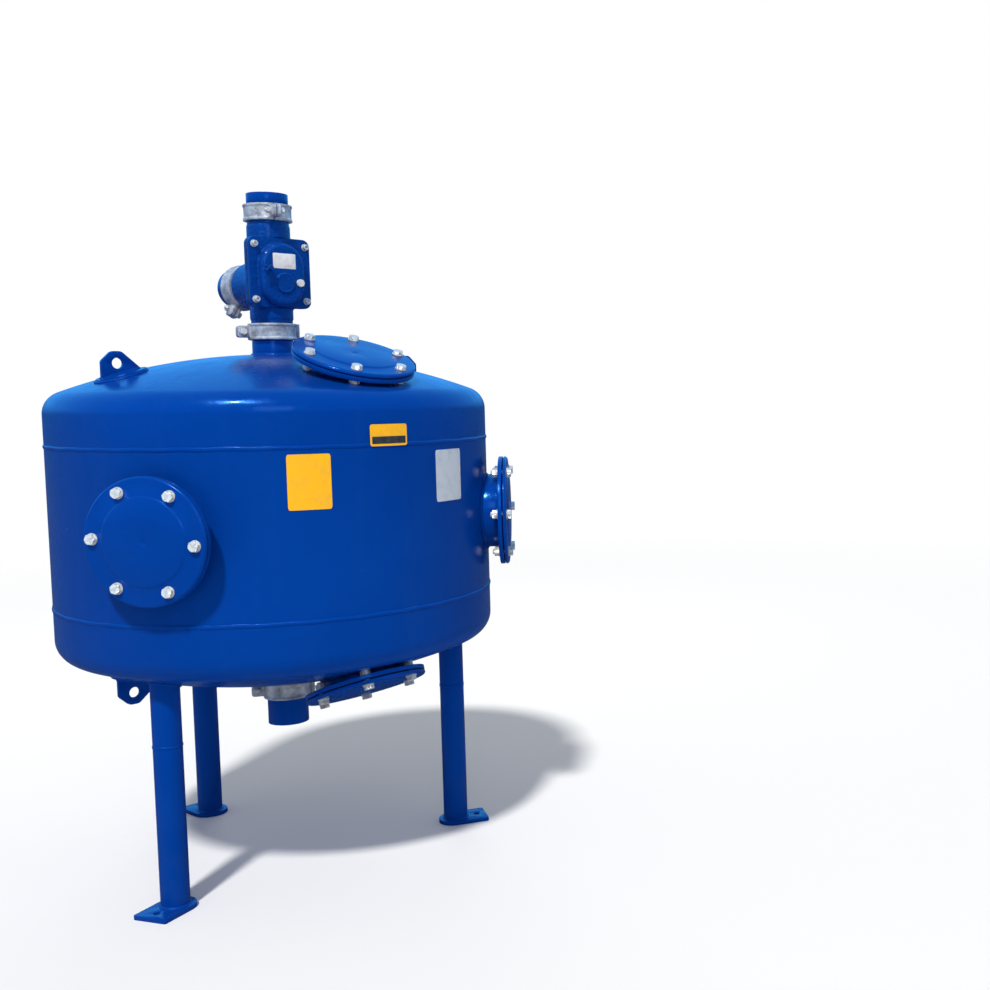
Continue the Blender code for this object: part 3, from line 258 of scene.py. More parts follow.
settled = calc(dust_group, "MULTIPLY", settled, dust_in.outputs["Amount"])
dust_group.links.new(settled, dust_out.inputs["Mask"])

# Sprayed or cast surface: slow waves of orange peel with a finer grain on top, as a bump height
skin_group, skin_in, skin_out = effect_group(
    "coated_skin", [("Vector", "NodeSocketVector", None), ("Wave", "NodeSocketFloat", 60.0),
                    ("Grain", "NodeSocketFloat", 600.0), ("Grain Share", "NodeSocketFloat", 0.3)],
    [("Height", "NodeSocketFloat")])
wave = skin_group.nodes.new("ShaderNodeTexNoise")
wave.inputs["Detail"].default_value = 2.0
grain = skin_group.nodes.new("ShaderNodeTexNoise")
grain.inputs["Detail"].default_value = 3.0
for texture, label in ((wave, "Wave"), (grain, "Grain")):
    skin_group.links.new(skin_in.outputs["Vector"], texture.inputs["Vector"])
    skin_group.links.new(skin_in.outputs[label], texture.inputs["Scale"])
grained = calc(skin_group, "MULTIPLY", grain.outputs["Fac"], skin_in.outputs["Grain Share"])
skin_group.links.new(calc(skin_group, "ADD", wave.outputs["Fac"], grained), skin_out.inputs["Height"])


DUST_COLOR, DUST_DULLS, SMEAR_DULLS = (0.06, 0.10, 0.15), 0.45, 0.12
PAINT_SHINE = (0.04, 0.28, 0.95, 1.0)


def painted(name, color, deep, roughness, coat, dust, wave_scale, grain_scale, grain_share, depth):
    """Blue coating over steel or iron: slow colour drift, orange peel or sand-cast grain, and dust."""
    material = bpy.data.materials.new(name)
    material.use_nodes = True
    tree = material.node_tree
    shader = tree.nodes["Principled BSDF"]
    place = tree.nodes.new("ShaderNodeTexCoord").outputs["Object"]
    facing = tree.nodes.new("ShaderNodeNewGeometry").outputs["Normal"]
    drift = spread(tree, noise_in(tree, place, 2.2, 3.0), 0.3, 0.7)
    body_color = tint(tree, drift, deep, color)
    dusty = tree.nodes.new("ShaderNodeGroup")
    dusty.node_tree = dust_group
    dusty.inputs["Amount"].default_value = dust
    tree.links.new(place, dusty.inputs["Vector"])
    tree.links.new(facing, dusty.inputs["Normal"])
    tree.links.new(tint(tree, dusty.outputs["Mask"], body_color, DUST_COLOR), shader.inputs["Base Color"])
    smears = noise_in(tree, place, 14.0, 5.0, 0.6)
    smears = spread(tree, smears, 0.35, 0.75, roughness, roughness + SMEAR_DULLS)
    tree.links.new(calc(tree, "ADD", smears, calc(tree, "MULTIPLY", dusty.outputs["Mask"], DUST_DULLS)),
                   shader.inputs["Roughness"])
    tree.links.new(calc(tree, "SUBTRACT", coat, calc(tree, "MULTIPLY", dusty.outputs["Mask"], coat)),
                   shader.inputs["Coat Weight"])
    shader.inputs["Coat Roughness"].default_value = 0.07
    shader.inputs["Specular Tint"].default_value = PAINT_SHINE
    skin = tree.nodes.new("ShaderNodeGroup")
    skin.node_tree = skin_group
    skin.inputs["Wave"].default_value = wave_scale
    skin.inputs["Grain"].default_value = grain_scale
    skin.inputs["Grain Share"].default_value = grain_share
    tree.links.new(place, skin.inputs["Vector"])
    bump = tree.nodes.new("ShaderNodeBump")
    bump.inputs["Strength"].default_value = 1.0
    bump.inputs["Distance"].default_value = depth
    tree.links.new(skin.outputs["Height"], bump.inputs["Height"])
    tree.links.new(bump.outputs["Normal"], shader.inputs["Normal"])
    return material


enamel = painted("blue_enamel", color=(0.0004, 0.043, 0.290), deep=(0.0003, 0.036, 0.250), roughness=0.16,
                 coat=0.06, dust=0.10, wave_scale=45.0, grain_scale=420.0, grain_share=0.25, depth=0.0007)

outer_line = head_line(0.0)
inner_line = head_line(-TANK_WALL)
lower_outer = [(radius, 2 * MIDDLE_Z - height) for radius, height in outer_line[::-1]]
lower_inner = [(radius, 2 * MIDDLE_Z - height) for radius, height in inner_line[::-1]]
shell_rows = [(TANK_RADIUS, TANGENT_Z - (TANGENT_Z - LOWER_TANGENT_Z) * row / 6)
              for row in range(1, 6)]
shell_inner = [(TANK_RADIUS - TANK_WALL, height) for radius, height in shell_rows[::-1]]
vessel_wall = turned_piece("vessel_wall", outer_line + shell_rows + lower_outer + lower_inner[::-1]
                           + shell_inner + inner_line[::-1], steps=160)
ease_edges(vessel_wall, 0)
dress(vessel_wall, enamel, "blue_enamel", "tank_shell", "upper_head", "lower_head")


BEAD_STEP, FEWEST_STEPS, MOST_STEPS, BEAD_SIDES = 0.0018, 60, 1300, 8
RIPPLE_PITCH, RIPPLE_DEPTH = 0.0048, 0.16


def weld_bead(name, path, half_width, half_height):
    """Closed weld bead: path(angle) gives its point, the way it stands proud and the way it lies wide."""
    rough = [path(2 * math.pi * i / 48)[0] for i in range(49)]
    length = sum((a - b).length for a, b in zip(rough, rough[1:]))
    count = int(min(max(length / BEAD_STEP, FEWEST_STEPS), MOST_STEPS))
    bpy.ops.object.select_all(action="DESELECT")
    bpy.ops.mesh.primitive_grid_add(x_subdivisions=count, y_subdivisions=BEAD_SIDES, size=1)
    bead = bpy.context.object
    bead.name = name
    for number, corner in enumerate(bead.data.vertices):
        i, j = number % (count + 1) % count, number // (count + 1) % BEAD_SIDES
        point, proud, wide = path(2 * math.pi * i / count)
        run, turn = length * i / count, 2 * math.pi * j / BEAD_SIDES
        swell = 1.0 + RIPPLE_DEPTH * math.cos(2 * math.pi * run / RIPPLE_PITCH)
        swell += 0.07 * math.sin(run * 71.0) + 0.05 * math.sin(run * 187.0)
        wander = 0.10 * half_width * math.sin(run * 53.0)
        corner.co = (point + proud * half_height * swell * math.cos(turn)
                     + wide * (half_width * math.sin(turn) * (0.6 + 0.4 * swell) + wander))
    to_edit(bead)
    bpy.ops.mesh.remove_doubles(threshold=TOUCHING)
    bpy.ops.mesh.normals_make_consistent(inside=False)
    to_object()
    bpy.ops.object.shade_smooth()
    return dress(bead, enamel, "blue_enamel")


def girth(radius, height):
    def path(angle):
        out = Vector((math.cos(angle), math.sin(angle), 0))
        return out * radius + Vector((0, 0, height)), out, Vector((0, 0, 1))
    return path


def inside_vessel(point):
    radius = math.hypot(point.x, point.y)
    if radius >= TANK_RADIUS:
        return False
    top = top_height(radius)
    return 2 * MIDDLE_Z - top < point.z < top


def where_it_lands(start, end):
    """Point on the vessel's outer face between a start outside and an end inside it."""
    for _ in range(26):  # halves 0.2 m down to far below a micron
        middle = (start + end) / 2
        if inside_vessel(middle):
            end = middle
        else:
            start = middle
    return start


def round_the_foot(place, radius, near, far):
    """Path of the fillet where a round piece along local Z meets the vessel."""
    axis = place.to_3x3() @ Vector((0, 0, 1))

    def path(angle):
        across = Vector((radius * math.cos(angle), radius * math.sin(angle), 0))
        point = where_it_lands(place @ (across + Vector((0, 0, near))),
                               place @ (across + Vector((0, 0, far))))
        out = (place.to_3x3() @ across).normalized()
        return point, (out + axis).normalized(), (out - axis).normalized()
    return path


SUNK = 0.0002
for girth_seam, seam_height in (("upper_girth_seam", MIDDLE_Z + SEAM_HALF),
                                ("lower_girth_seam", MIDDLE_Z - SEAM_HALF)):
    weld_bead(girth_seam, girth(TANK_RADIUS - SUNK, seam_height), half_width=0.0060, half_height=0.0024)

# Hatches
# Four inspection hatches: an 8 inch pipe neck set into the wall, a slip-on flange, a flat gasket
# and a pressed cover with a raised middle, held by six M16 bolts with washers and nuts.
NECK_RADIUS, NECK_WALL, NECK_LENGTH = 0.10955, 0.0063, 0.078
FLANGE_RADIUS, FLANGE_THICKNESS = 0.162, 0.012
COVER_BASE, COVER_FACE_HEIGHT = 0.0031, 0.0131
COVER_RIM, BOLT_CIRCLE = 0.0072, 0.1355
GASKET_RADIUS, GASKET_LOW, GASKET_HIGH = 0.124, 0.0003, 0.0028
PANEL_FOOT, PANEL_RADIUS, PANEL_RISE = 0.1155, 0.1080, 0.004
FIT = 0.0003


def turn_z(degrees):
    return Matrix.Rotation(math.radians(degrees), 4, "Z")


def hatch_place(azimuth, radius, height, tilt, roll=0.0):
    return (turn_z(azimuth + 90) @ Matrix.Translation((0, -radius, height))
            @ Matrix.Rotation(math.radians(tilt), 4, "X") @ turn_z(roll))


MIRROR_DOWN = Matrix.Translation((0, 0, 2 * MIDDLE_Z)) @ Matrix.Diagonal((1, 1, -1, 1))
top_hatch = hatch_place(270.0, radius=0.4122, height=1.4477, tilt=21.3)
hatch_places = {
    "top": top_hatch,
    "bottom": MIRROR_DOWN @ top_hatch @ Matrix.Diagonal((1, -1, 1, 1)),
    "front": hatch_place(212.0, radius=0.650, height=MIDDLE_Z, tilt=90, roll=-3.4),
    "side": hatch_place(318.0, radius=0.650, height=MIDDLE_Z, tilt=90),
}

# Zinc-plated fasteners: yellowish passivation with grey worn spots and a little white bloom
zinc = bpy.data.materials.new("zinc_plate")
zinc.use_nodes = True
zinc_tree = zinc.node_tree
zinc_shader = zinc_tree.nodes["Principled BSDF"]
zinc_place = zinc_tree.nodes.new("ShaderNodeTexCoord").outputs["Object"]
zinc_wear = spread(zinc_tree, noise_in(zinc_tree, zinc_place, 95.0, 6.0, 0.6), 0.40, 0.62)
zinc_bloom = spread(zinc_tree, noise_in(zinc_tree, zinc_place, 240.0, 4.0), 0.58, 0.72)
zinc_body = tint(zinc_tree, zinc_wear, (0.66, 0.63, 0.53), (0.60, 0.61, 0.62))
zinc_tree.links.new(tint(zinc_tree, zinc_bloom, zinc_body, (0.80, 0.80, 0.78)),
                    zinc_shader.inputs["Base Color"])
zinc_tree.links.new(spread(zinc_tree, zinc_wear, 0.0, 1.0, 0.30, 0.48), zinc_shader.inputs["Roughness"])
zinc_tree.links.new(spread(zinc_tree, zinc_bloom, 0.0, 1.0, 0.34, 0.15), zinc_shader.inputs["Metallic"])
zinc_bump = zinc_tree.nodes.new("ShaderNodeBump")
zinc_bump.inputs["Distance"].default_value = 0.0003
zinc_tree.links.new(zinc_wear, zinc_bump.inputs["Height"])
zinc_tree.links.new(zinc_bump.outputs["Normal"], zinc_shader.inputs["Normal"])


def mottled(name, clean, worn, noise, low, high, roughness, dulled, metal=0.0, depth=0.0):
    """Finish that wears or soils in patches, from a noise of some scale, detail and roughness."""
    material = bpy.data.materials.new(name)
    material.use_nodes = True
    tree = material.node_tree
    shader = tree.nodes["Principled BSDF"]
    place = tree.nodes.new("ShaderNodeTexCoord").outputs["Object"]
    mask = spread(tree, noise_in(tree, place, *noise), low, high)
    tree.links.new(tint(tree, mask, clean, worn), shader.inputs["Base Color"])
    tree.links.new(spread(tree, mask, 0.0, 1.0, roughness, dulled), shader.inputs["Roughness"])
    shader.inputs["Metallic"].default_value = metal
    if depth:
        bump = tree.nodes.new("ShaderNodeBump")
        bump.inputs["Distance"].default_value = depth
        tree.links.new(mask, bump.inputs["Height"])
        tree.links.new(bump.outputs["Normal"], shader.inputs["Normal"])
    return material


# Gasket rubber, chalked grey in patches
rubber = mottled("black_rubber", clean=(0.014, 0.014, 0.015), worn=(0.055, 0.055, 0.053), noise=(60.0, 5.0),
                 low=0.4, high=0.75, roughness=0.62, dulled=0.85)


def hex_block(name, across_flats, low, high, chamfer):
    """Hexagon head or nut, its corners turned off at both ends."""
    bpy.ops.object.select_all(action="DESELECT")
    bpy.ops.mesh.primitive_cylinder_add(vertices=6, radius=across_flats / math.sqrt(3), depth=high - low,
                                        location=(0, 0, (low + high) / 2))
    head = bpy.context.object
    head.name = name
    bpy.ops.object.transform_apply(location=True, rotation=True, scale=True)
    corner = across_flats / math.sqrt(3)
    flat = across_flats / 2
    rounding = turned_piece("rounding", [(0, low), (flat, low), (corner * 1.02, low + chamfer),
                                         (corner * 1.02, high - chamfer), (flat, high), (0, high)], 36)
    return ease_edges(combine(head, rounding, "INTERSECT"), across_flats * 0.012, 1, 28)


def threaded_end(name, radius, low, high, pitch):
    """Bolt shank along Z: plain to the top, with thread ridges over its lower end."""
    root, tip = radius * 0.90, radius * 0.86
    outline = [(0, high), (radius, high)]
    height = low + 7 * pitch
    while height > low + pitch:
        outline += [(radius, height), (root, height - pitch * 0.5)]
        height -= pitch
    outline += [(radius, low + pitch * 0.8), (tip, low), (0, low)]
    return ease_edges(turned_piece(name, outline, 28), 0, angle=24)


def washer(name, inner, outer, low, high):
    ring = turned_piece(name, [(inner, low), (outer, low), (outer, high), (inner, high)], 36)
    return ease_edges(ring, (high - low) * 0.16)


def hex_bolt(name, radius, across_flats, head, nut, washer_radius, washer_thick, grip, spare_end):
    """Bolt set along Z: its head's washer rests at z = 0 and its nut's washer at z = -grip."""
    thick = washer_thick
    return join(name, [
        hex_block("head", across_flats, thick, thick + head, head * 0.12),
        washer("head_washer", radius * 1.02, washer_radius, 0.0001, thick),
        threaded_end("shank", radius, -grip - thick - nut - spare_end, thick + head / 2, radius * 0.25),
        hex_block("nut", across_flats, -grip - thick - nut, -grip - thick, nut * 0.12),
        washer("nut_washer", radius * 1.02, washer_radius, -grip - thick, -grip - 0.0001),
    ])


neck_pattern = ease_edges(turned_piece("neck_pattern", [
    (NECK_RADIUS, -0.003), (NECK_RADIUS, -NECK_LENGTH), (NECK_RADIUS - NECK_WALL, -NECK_LENGTH),
    (NECK_RADIUS - NECK_WALL, -0.003)], 96), 0.0012)
flange_pattern = ease_edges(turned_piece("flange_pattern", [
    (FLANGE_RADIUS, 0), (FLANGE_RADIUS, -FLANGE_THICKNESS), (NECK_RADIUS + FIT, -FLANGE_THICKNESS),
    (NECK_RADIUS + FIT, 0)], 112), 0.0014)
gasket_pattern = ease_edges(turned_piece("gasket_pattern", [
    (GASKET_RADIUS, GASKET_LOW), (GASKET_RADIUS, GASKET_HIGH), (NECK_RADIUS - NECK_WALL, GASKET_HIGH),
    (NECK_RADIUS - NECK_WALL, GASKET_LOW)], 96), 0.0006)
panel = COVER_FACE_HEIGHT + PANEL_RISE
cover_pattern = ease_edges(turned_piece("cover_pattern", [
    (0, COVER_BASE), (FLANGE_RADIUS - 0.0008, COVER_BASE), (FLANGE_RADIUS, COVER_BASE + 0.0012),
    *[(FLANGE_RADIUS - COVER_RIM + COVER_RIM * math.cos(math.radians(15 * step)),
       COVER_FACE_HEIGHT - COVER_RIM + COVER_RIM * math.sin(math.radians(15 * step))) for step in range(7)],
    (PANEL_FOOT, COVER_FACE_HEIGHT), (PANEL_FOOT - 0.0025, COVER_FACE_HEIGHT + 0.0010),
    (PANEL_RADIUS + 0.0025, panel - 0.0010), (PANEL_RADIUS, panel),
    (0.0090, panel), (0.0070, panel - 0.0012), (0, panel - 0.0014)], 112), 0.0006, 2, 24)
bolt_pattern = hex_bolt("bolt_pattern", radius=0.008, across_flats=0.024, head=0.010, nut=0.013,
                        washer_radius=0.015, washer_thick=0.003,
                        grip=COVER_FACE_HEIGHT + FLANGE_THICKNESS, spare_end=0.005)
bolt_turns = (11, 47, 26, 3, 38, 19)  # degrees at which each was left when tightened
for hatch, place in hatch_places.items():
    neck = spare(neck_pattern, hatch + "_neck_pipe", place)
    dress(neck, enamel, "blue_enamel", hatch + "_hatch_neck")
    flange = spare(flange_pattern, hatch + "_flange_ring", place)
    dress(flange, enamel, "blue_enamel", hatch + "_hatch_flange")
    gasket = spare(gasket_pattern, hatch + "_gasket_ring", place)
    dress(gasket, rubber, "black_rubber", hatch + "_hatch_gasket")
    cover = spare(cover_pattern, hatch + "_cover_plate", place)
    dress(cover, enamel, "blue_enamel", hatch + "_hatch_cover")
    bolts = []
    for number in range(6):
        spot = (turn_z(60 * number) @ Matrix.Translation((BOLT_CIRCLE, 0, COVER_FACE_HEIGHT))
                @ turn_z(bolt_turns[number] + 7 * len(hatch)))
        bolts.append(spare(bolt_pattern, hatch + "_bolt", place @ spot))
    dress(join(hatch + "_hatch_bolts", bolts), zinc, "blue_enamel")
    weld_bead(hatch + "_neck_weld", round_the_foot(place, NECK_RADIUS, near=-0.004, far=-0.20),
              half_width=0.0060, half_height=0.0042)

    def flange_corner(angle, place=place):
        out = Vector((math.cos(angle), math.sin(angle), 0))
        point = place @ (out * NECK_RADIUS + Vector((0, 0, -FLANGE_THICKNESS)))
        turn = place.to_3x3()
        down = turn @ Vector((0, 0, -1))
        out = turn @ out
        return point, (out + down).normalized(), (out - down).normalized()
    weld_bead(hatch + "_flange_weld", flange_corner, half_width=0.0042, half_height=0.0028)
for pattern in (neck_pattern, flange_pattern, gasket_pattern, cover_pattern, bolt_pattern):
    bpy.data.objects.remove(pattern)

# Legs and feet
# Three legs of 2 1/2 inch pipe, each in two lengths butted at a weld, coped to the lower head and
# standing on a 12 mm foot plate with a round heel and one anchor hole in its toe.
LEG_RADIUS, LEG_WALL, LEG_CIRCLE, LEG_SEAM_Z, LEG_UNCUT_Z = 0.0365, 0.005, 0.485, 0.440, 0.80
FOOT, HEEL_RADIUS, TOE_CORNER = 0.012, 0.0505, 0.0055
ANCHOR_REACH, ANCHOR_RADIUS = 0.066, 0.009
leg_azimuths = {"rear": 91.5, "left": 202.0, "right": 334.0}


def rounded(corners, radii, steps):
    """Closed outline through corner points, each rounded to its own radius."""
    outline = []
    for i, (corner, radius) in enumerate(zip(corners, radii)):
        here = Vector(corner)
        before = (Vector(corners[i - 1]) - here).normalized()
        after = (Vector(corners[(i + 1) % len(corners)]) - here).normalized()
        half = before.angle(after) / 2
        centre = here + (before + after).normalized() * radius / math.sin(half)
        start = here + before * radius / math.tan(half) - centre
        end = here + after * radius / math.tan(half) - centre
        for step in range(steps + 1):
            outline.append(tuple(centre + start.slerp(end, step / steps).normalized() * radius))
    return outline


def plate_piece(name, outline, thickness, holes=(), edge=0.0012):
    """Flat plate on z = 0, from an outline and round (x, y, radius) holes."""
    bpy.ops.object.select_all(action="DESELECT")
    bpy.ops.mesh.primitive_circle_add(vertices=len(outline), radius=1, fill_type="NGON")
    piece = bpy.context.object
    piece.name = name
    for corner, (x, y) in zip(piece.data.vertices, outline):
        corner.co = (x, y, 0)
    to_edit(piece)
    bpy.ops.mesh.extrude_region_move(TRANSFORM_OT_translate={"value": (0, 0, thickness)})
    bpy.ops.mesh.select_all(action="SELECT")
    bpy.ops.mesh.remove_doubles(threshold=TOUCHING)
    bpy.ops.mesh.normals_make_consistent(inside=False)
    to_object()
    for x, y, radius in holes:
        bpy.ops.object.select_all(action="DESELECT")
        bpy.ops.mesh.primitive_cylinder_add(vertices=40, radius=radius, depth=6 * thickness,
                                            location=(x, y, 0))
        combine(piece, bpy.context.object, "DIFFERENCE")
    return ease_edges(piece, edge)


half, toe = LEG_RADIUS + 0.015, LEG_RADIUS + 0.058
foot_outline = rounded([(-half, -half), (toe, -half), (toe, half), (-half, half)],
                       [HEEL_RADIUS, TOE_CORNER, TOE_CORNER, HEEL_RADIUS], 16)
foot_pattern = plate_piece("foot_pattern", foot_outline, FOOT, [(ANCHOR_REACH, 0, ANCHOR_RADIUS)])
for leg, azimuth in leg_azimuths.items():
    place = turn_z(azimuth) @ Matrix.Translation((LEG_CIRCLE, 0, 0))
    pipe = turned_piece(leg + "_leg_pipe", [
        (LEG_RADIUS, LEG_UNCUT_Z), (LEG_RADIUS, FOOT + FIT), (LEG_RADIUS - LEG_WALL, FOOT + FIT),
        (LEG_RADIUS - LEG_WALL, LEG_UNCUT_Z)], 56)
    settle(pipe, place)
    combine(pipe, envelope(FIT), "DIFFERENCE")
    ease_edges(pipe, 0)
    dress(pipe, enamel, "blue_enamel", leg + "_leg")
    dress(spare(foot_pattern, leg + "_foot", place), enamel, "blue_enamel", leg + "_foot_plate")
    weld_bead(leg + "_leg_weld", round_the_foot(place, LEG_RADIUS, near=0.30, far=LEG_UNCUT_Z),
              half_width=0.0058, half_height=0.0040)

    def leg_ring(height, proud, place=place):
        def path(angle):
            out = Vector((math.cos(angle), math.sin(angle), 0))
            point = place @ (out * LEG_RADIUS + Vector((0, 0, height)))
            out = place.to_3x3() @ out
            up = Vector((0, 0, 1))
            if proud:
                return point, out, up
            return point, (out + up).normalized(), (out - up).normalized()
        return path
    weld_bead(leg + "_leg_seam", leg_ring(LEG_SEAM_Z, True), half_width=0.0040, half_height=0.0013)
    weld_bead(leg + "_foot_weld", leg_ring(FOOT, False), half_width=0.0050, half_height=0.0036)
bpy.data.objects.remove(foot_pattern)

# Lifting lugs
# Four lugs, two over and two under the tank: a 12 mm plate with one eye, welded upright along the
# radius on a round doubler pad that is pressed to the head's curve.
LUG_CIRCLE, LUG_Z, LUG_THICK, EYE_RADIUS = 0.449, 1.4410, 0.012, 0.0145
PAD_RADIUS, PAD_THICK, PAD_INWARDS = 0.062, 0.008, 0.010
lug_outline = rounded([(0.042, -0.070), (0.042, 0.006), (0.015, 0.032), (-0.011, 0.032), (-0.063, -0.014),
                       (-0.055, -0.070)], [0.002, 0.012, 0.018, 0.018, 0.006, 0.002], 8)
for side, azimuth in (("right", 0.0), ("left", 180.0)):
    upright = (turn_z(azimuth) @ Matrix.Translation((LUG_CIRCLE, LUG_THICK / 2, LUG_Z))
               @ Matrix.Rotation(math.radians(90), 4, "X"))
    blade = settle(plate_piece("blade", lug_outline, LUG_THICK, [(0, 0, EYE_RADIUS)], 0.0010), upright)
    combine(blade, envelope(PAD_THICK / 2), "DIFFERENCE")
    ease_edges(blade, 0)
    pad_centre = turn_z(azimuth) @ Vector((LUG_CIRCLE - PAD_INWARDS, 0, 0))
    bpy.ops.object.select_all(action="DESELECT")
    bpy.ops.mesh.primitive_cylinder_add(vertices=72, radius=PAD_RADIUS, depth=0.2,
                                        location=(pad_centre.x, pad_centre.y, 1.40))
    pad = bpy.context.object
    bpy.ops.object.transform_apply(location=True, rotation=True, scale=True)
    combine(pad, envelope(PAD_THICK), "INTERSECT")
    combine(pad, envelope(FIT), "DIFFERENCE")
    ease_edges(pad, 0.0012)
    lug = join("upper_lug_plate_" + side, [blade, pad])
    lower = spare(lug, "lower_lug_plate_" + side, MIRROR_DOWN)
    dress(lug, enamel, "blue_enamel", "upper_lug_" + side)
    dress(lower, enamel, "blue_enamel", "lower_lug_" + side)
    for level, flip in (("upper", Matrix.Identity(4)), ("lower", MIRROR_DOWN)):
        pad_axis = Matrix.Translation((pad_centre.x, pad_centre.y, 0))

        def pad_rim(angle, pad_axis=pad_axis, flip=flip):
            across = Vector((math.cos(angle), math.sin(angle), 0))
            point = pad_axis @ (across * PAD_RADIUS)
            point.z = top_height(math.hypot(point.x, point.y)) + 0.0015
            up = Vector((0, 0, 1))
            return flip @ point, flip.to_3x3() @ (across + up).normalized(), flip.to_3x3() @ (across - up)
        weld_bead(level + "_pad_weld_" + side, pad_rim, half_width=0.0032, half_height=0.0034)

        def blade_foot(angle, azimuth=azimuth, flip=flip):
            reach, thick = 0.0485, LUG_THICK / 2 + 0.0005
            x = max(-reach, min(reach, 1.25 * reach * math.cos(angle)))
            y = thick * max(-1.0, min(1.0, 1.6 * math.sin(angle)))
            point = turn_z(azimuth) @ Vector((LUG_CIRCLE - 0.0065 + x, y, 0))
            point.z = top_height(math.hypot(point.x, point.y), PAD_THICK)
            out = turn_z(azimuth).to_3x3() @ Vector((0.25 * math.cos(angle), math.sin(angle), 0))
            out, up, over = out.normalized(), Vector((0, 0, 1)), flip.to_3x3()
            return flip @ point, over @ (out + up).normalized(), over @ (out - up).normalized()
        weld_bead(level + "_lug_weld_" + side, blade_foot, half_width=0.0040, half_height=0.0030)

# Pipe necks and stubs
# Plain lengths of 4 inch steel pipe with a rolled groove near the coupled end: two necks set into
# and welded to the heads, and a short stub on the far side of the supply, drain and outlet couplings.
PIPE_RADIUS, PIPE_BORE, GAP = 0.05715, 0.05115, 0.0016
GROOVE_NEAR, GROOVE_FAR, GROOVE_FLOOR = 0.0159, 0.0246, PIPE_RADIUS - 0.0021
LOWER_APEX_Z, SET_IN = 2 * MIDDLE_Z - APEX_Z, 0.045
TANK_COUPLING_Z, SUPPLY_COUPLING_Z, OUTLET_COUPLING_Z = APEX_Z + 0.065, APEX_Z + 0.405, LOWER_APEX_Z - 0.045
PLUNGER_Z, DRAIN_REACH = APEX_Z + 0.201, 0.140
SUPPLY_STUB, OUTLET_STUB, DRAIN_STUB = 0.055, 0.100, 0.060


def grooved_outline(end, inwards):
    near, far = end + inwards * GROOVE_NEAR, end + inwards * GROOVE_FAR
    return [(PIPE_RADIUS, end), (PIPE_RADIUS, near), (GROOVE_FLOOR, near + inwards * 0.0010),
            (GROOVE_FLOOR, far - inwards * 0.0010), (PIPE_RADIUS, far)]


def grooved_pipe(name, grooved, plain, node, place=None):
    """Pipe from its grooved end to its plain end, along Z or set over by a place."""
    inwards = 1 if plain > grooved else -1
    outline = grooved_outline(grooved, inwards)
    outline += [(PIPE_RADIUS, plain), (PIPE_BORE, plain), (PIPE_BORE, grooved)]
    pipe = ease_edges(turned_piece(name, outline, 72), 0.0008, 2, 24)
    if place is not None:
        settle(pipe, place)
    return dress(pipe, enamel, "blue_enamel", node)


VALVE_PLACE = Matrix.Translation((0, 0, PLUNGER_Z)) @ Matrix.Rotation(math.radians(90), 4, "X")
grooved_pipe("inlet_neck_pipe", TANK_COUPLING_Z - GAP, APEX_Z - SET_IN, "inlet_neck")
grooved_pipe("outlet_neck_pipe", OUTLET_COUPLING_Z + GAP, LOWER_APEX_Z + SET_IN, "outlet_neck")
grooved_pipe("supply_pipe", SUPPLY_COUPLING_Z + GAP, SUPPLY_COUPLING_Z + SUPPLY_STUB, "inlet_stub")
grooved_pipe("outlet_pipe", OUTLET_COUPLING_Z - GAP, OUTLET_COUPLING_Z - OUTLET_STUB, "outlet_stub")
grooved_pipe("drain_pipe", -DRAIN_REACH - GAP, -DRAIN_REACH - DRAIN_STUB, "drain_stub", VALVE_PLACE)
above = Matrix.Translation((0, 0, APEX_Z + 0.02))
below = Matrix.Translation((0, 0, LOWER_APEX_Z - 0.02)) @ Matrix.Rotation(math.pi, 4, "X")
for neck_weld, place in (("inlet_neck_weld", above), ("outlet_neck_weld", below)):
    weld_bead(neck_weld, round_the_foot(place, PIPE_RADIUS, near=0.0, far=-0.06),
              half_width=0.0062, half_height=0.0044)

# Three-way valve body
# One sand casting in ductile iron: an upright barrel with a port at each end, the drain barrel to
# the rear and a broad flange for the bonnet in front, with cast fillets all round, painted blue.
# Local Z runs along the plunger, out to the front, and local Y runs up.
casting = painted("blue_casting", color=(0.0008, 0.045, 0.280), deep=(0.0004, 0.030, 0.190), roughness=0.20,
                  coat=0.12, dust=0.20, wave_scale=110.0, grain_scale=420.0, grain_share=0.6, depth=0.0030)
TO_UPRIGHT = Matrix.Rotation(math.radians(-90), 4, "X")
FLANGE_FACE, FLANGE_DEPTH, BONNET_FACE, DOME_FACE = 0.0430, 0.014, 0.057, 0.080
PORT_TOP, PORT_BOTTOM = 0.204 - GAP, -0.136 + GAP
BARREL, DRAIN_SHOULDER, DRAIN_BARREL = 0.0595, 0.076, 0.071
COVER_HALF_WIDTH, COVER_BOTTOM, COVER_TOP, COVER_CORNER = 0.095, -0.069, 0.131, 0.022
SEAT_WALL_FRONT, SEAT_WALL_BACK, DRAIN_WALL_FRONT, DRAIN_WALL_BACK = 0.0023, -0.0103, -0.0477, -0.0563
SUPPLY_SEAT_BORE, PISTON_SLEEVE, DRAIN_SEAT_BORE = 0.0506, 0.0662, 0.0425


def cast_skin(piece, grain, rounds):
    """Melt joined shapes into one casting with soft fillets."""
    bpy.ops.object.select_all(action="DESELECT")
    piece.select_set(True)
    bpy.context.view_layer.objects.active = piece
    remesh = piece.modifiers.new("Casting", "REMESH")
    remesh.mode = "VOXEL"
    remesh.voxel_size = grain
    bpy.ops.object.modifier_apply(modifier=remesh.name)
    smooth = piece.modifiers.new("Fillets", "SMOOTH")
    smooth.factor = 0.5
    smooth.iterations = rounds
    bpy.ops.object.modifier_apply(modifier=smooth.name)
    return piece


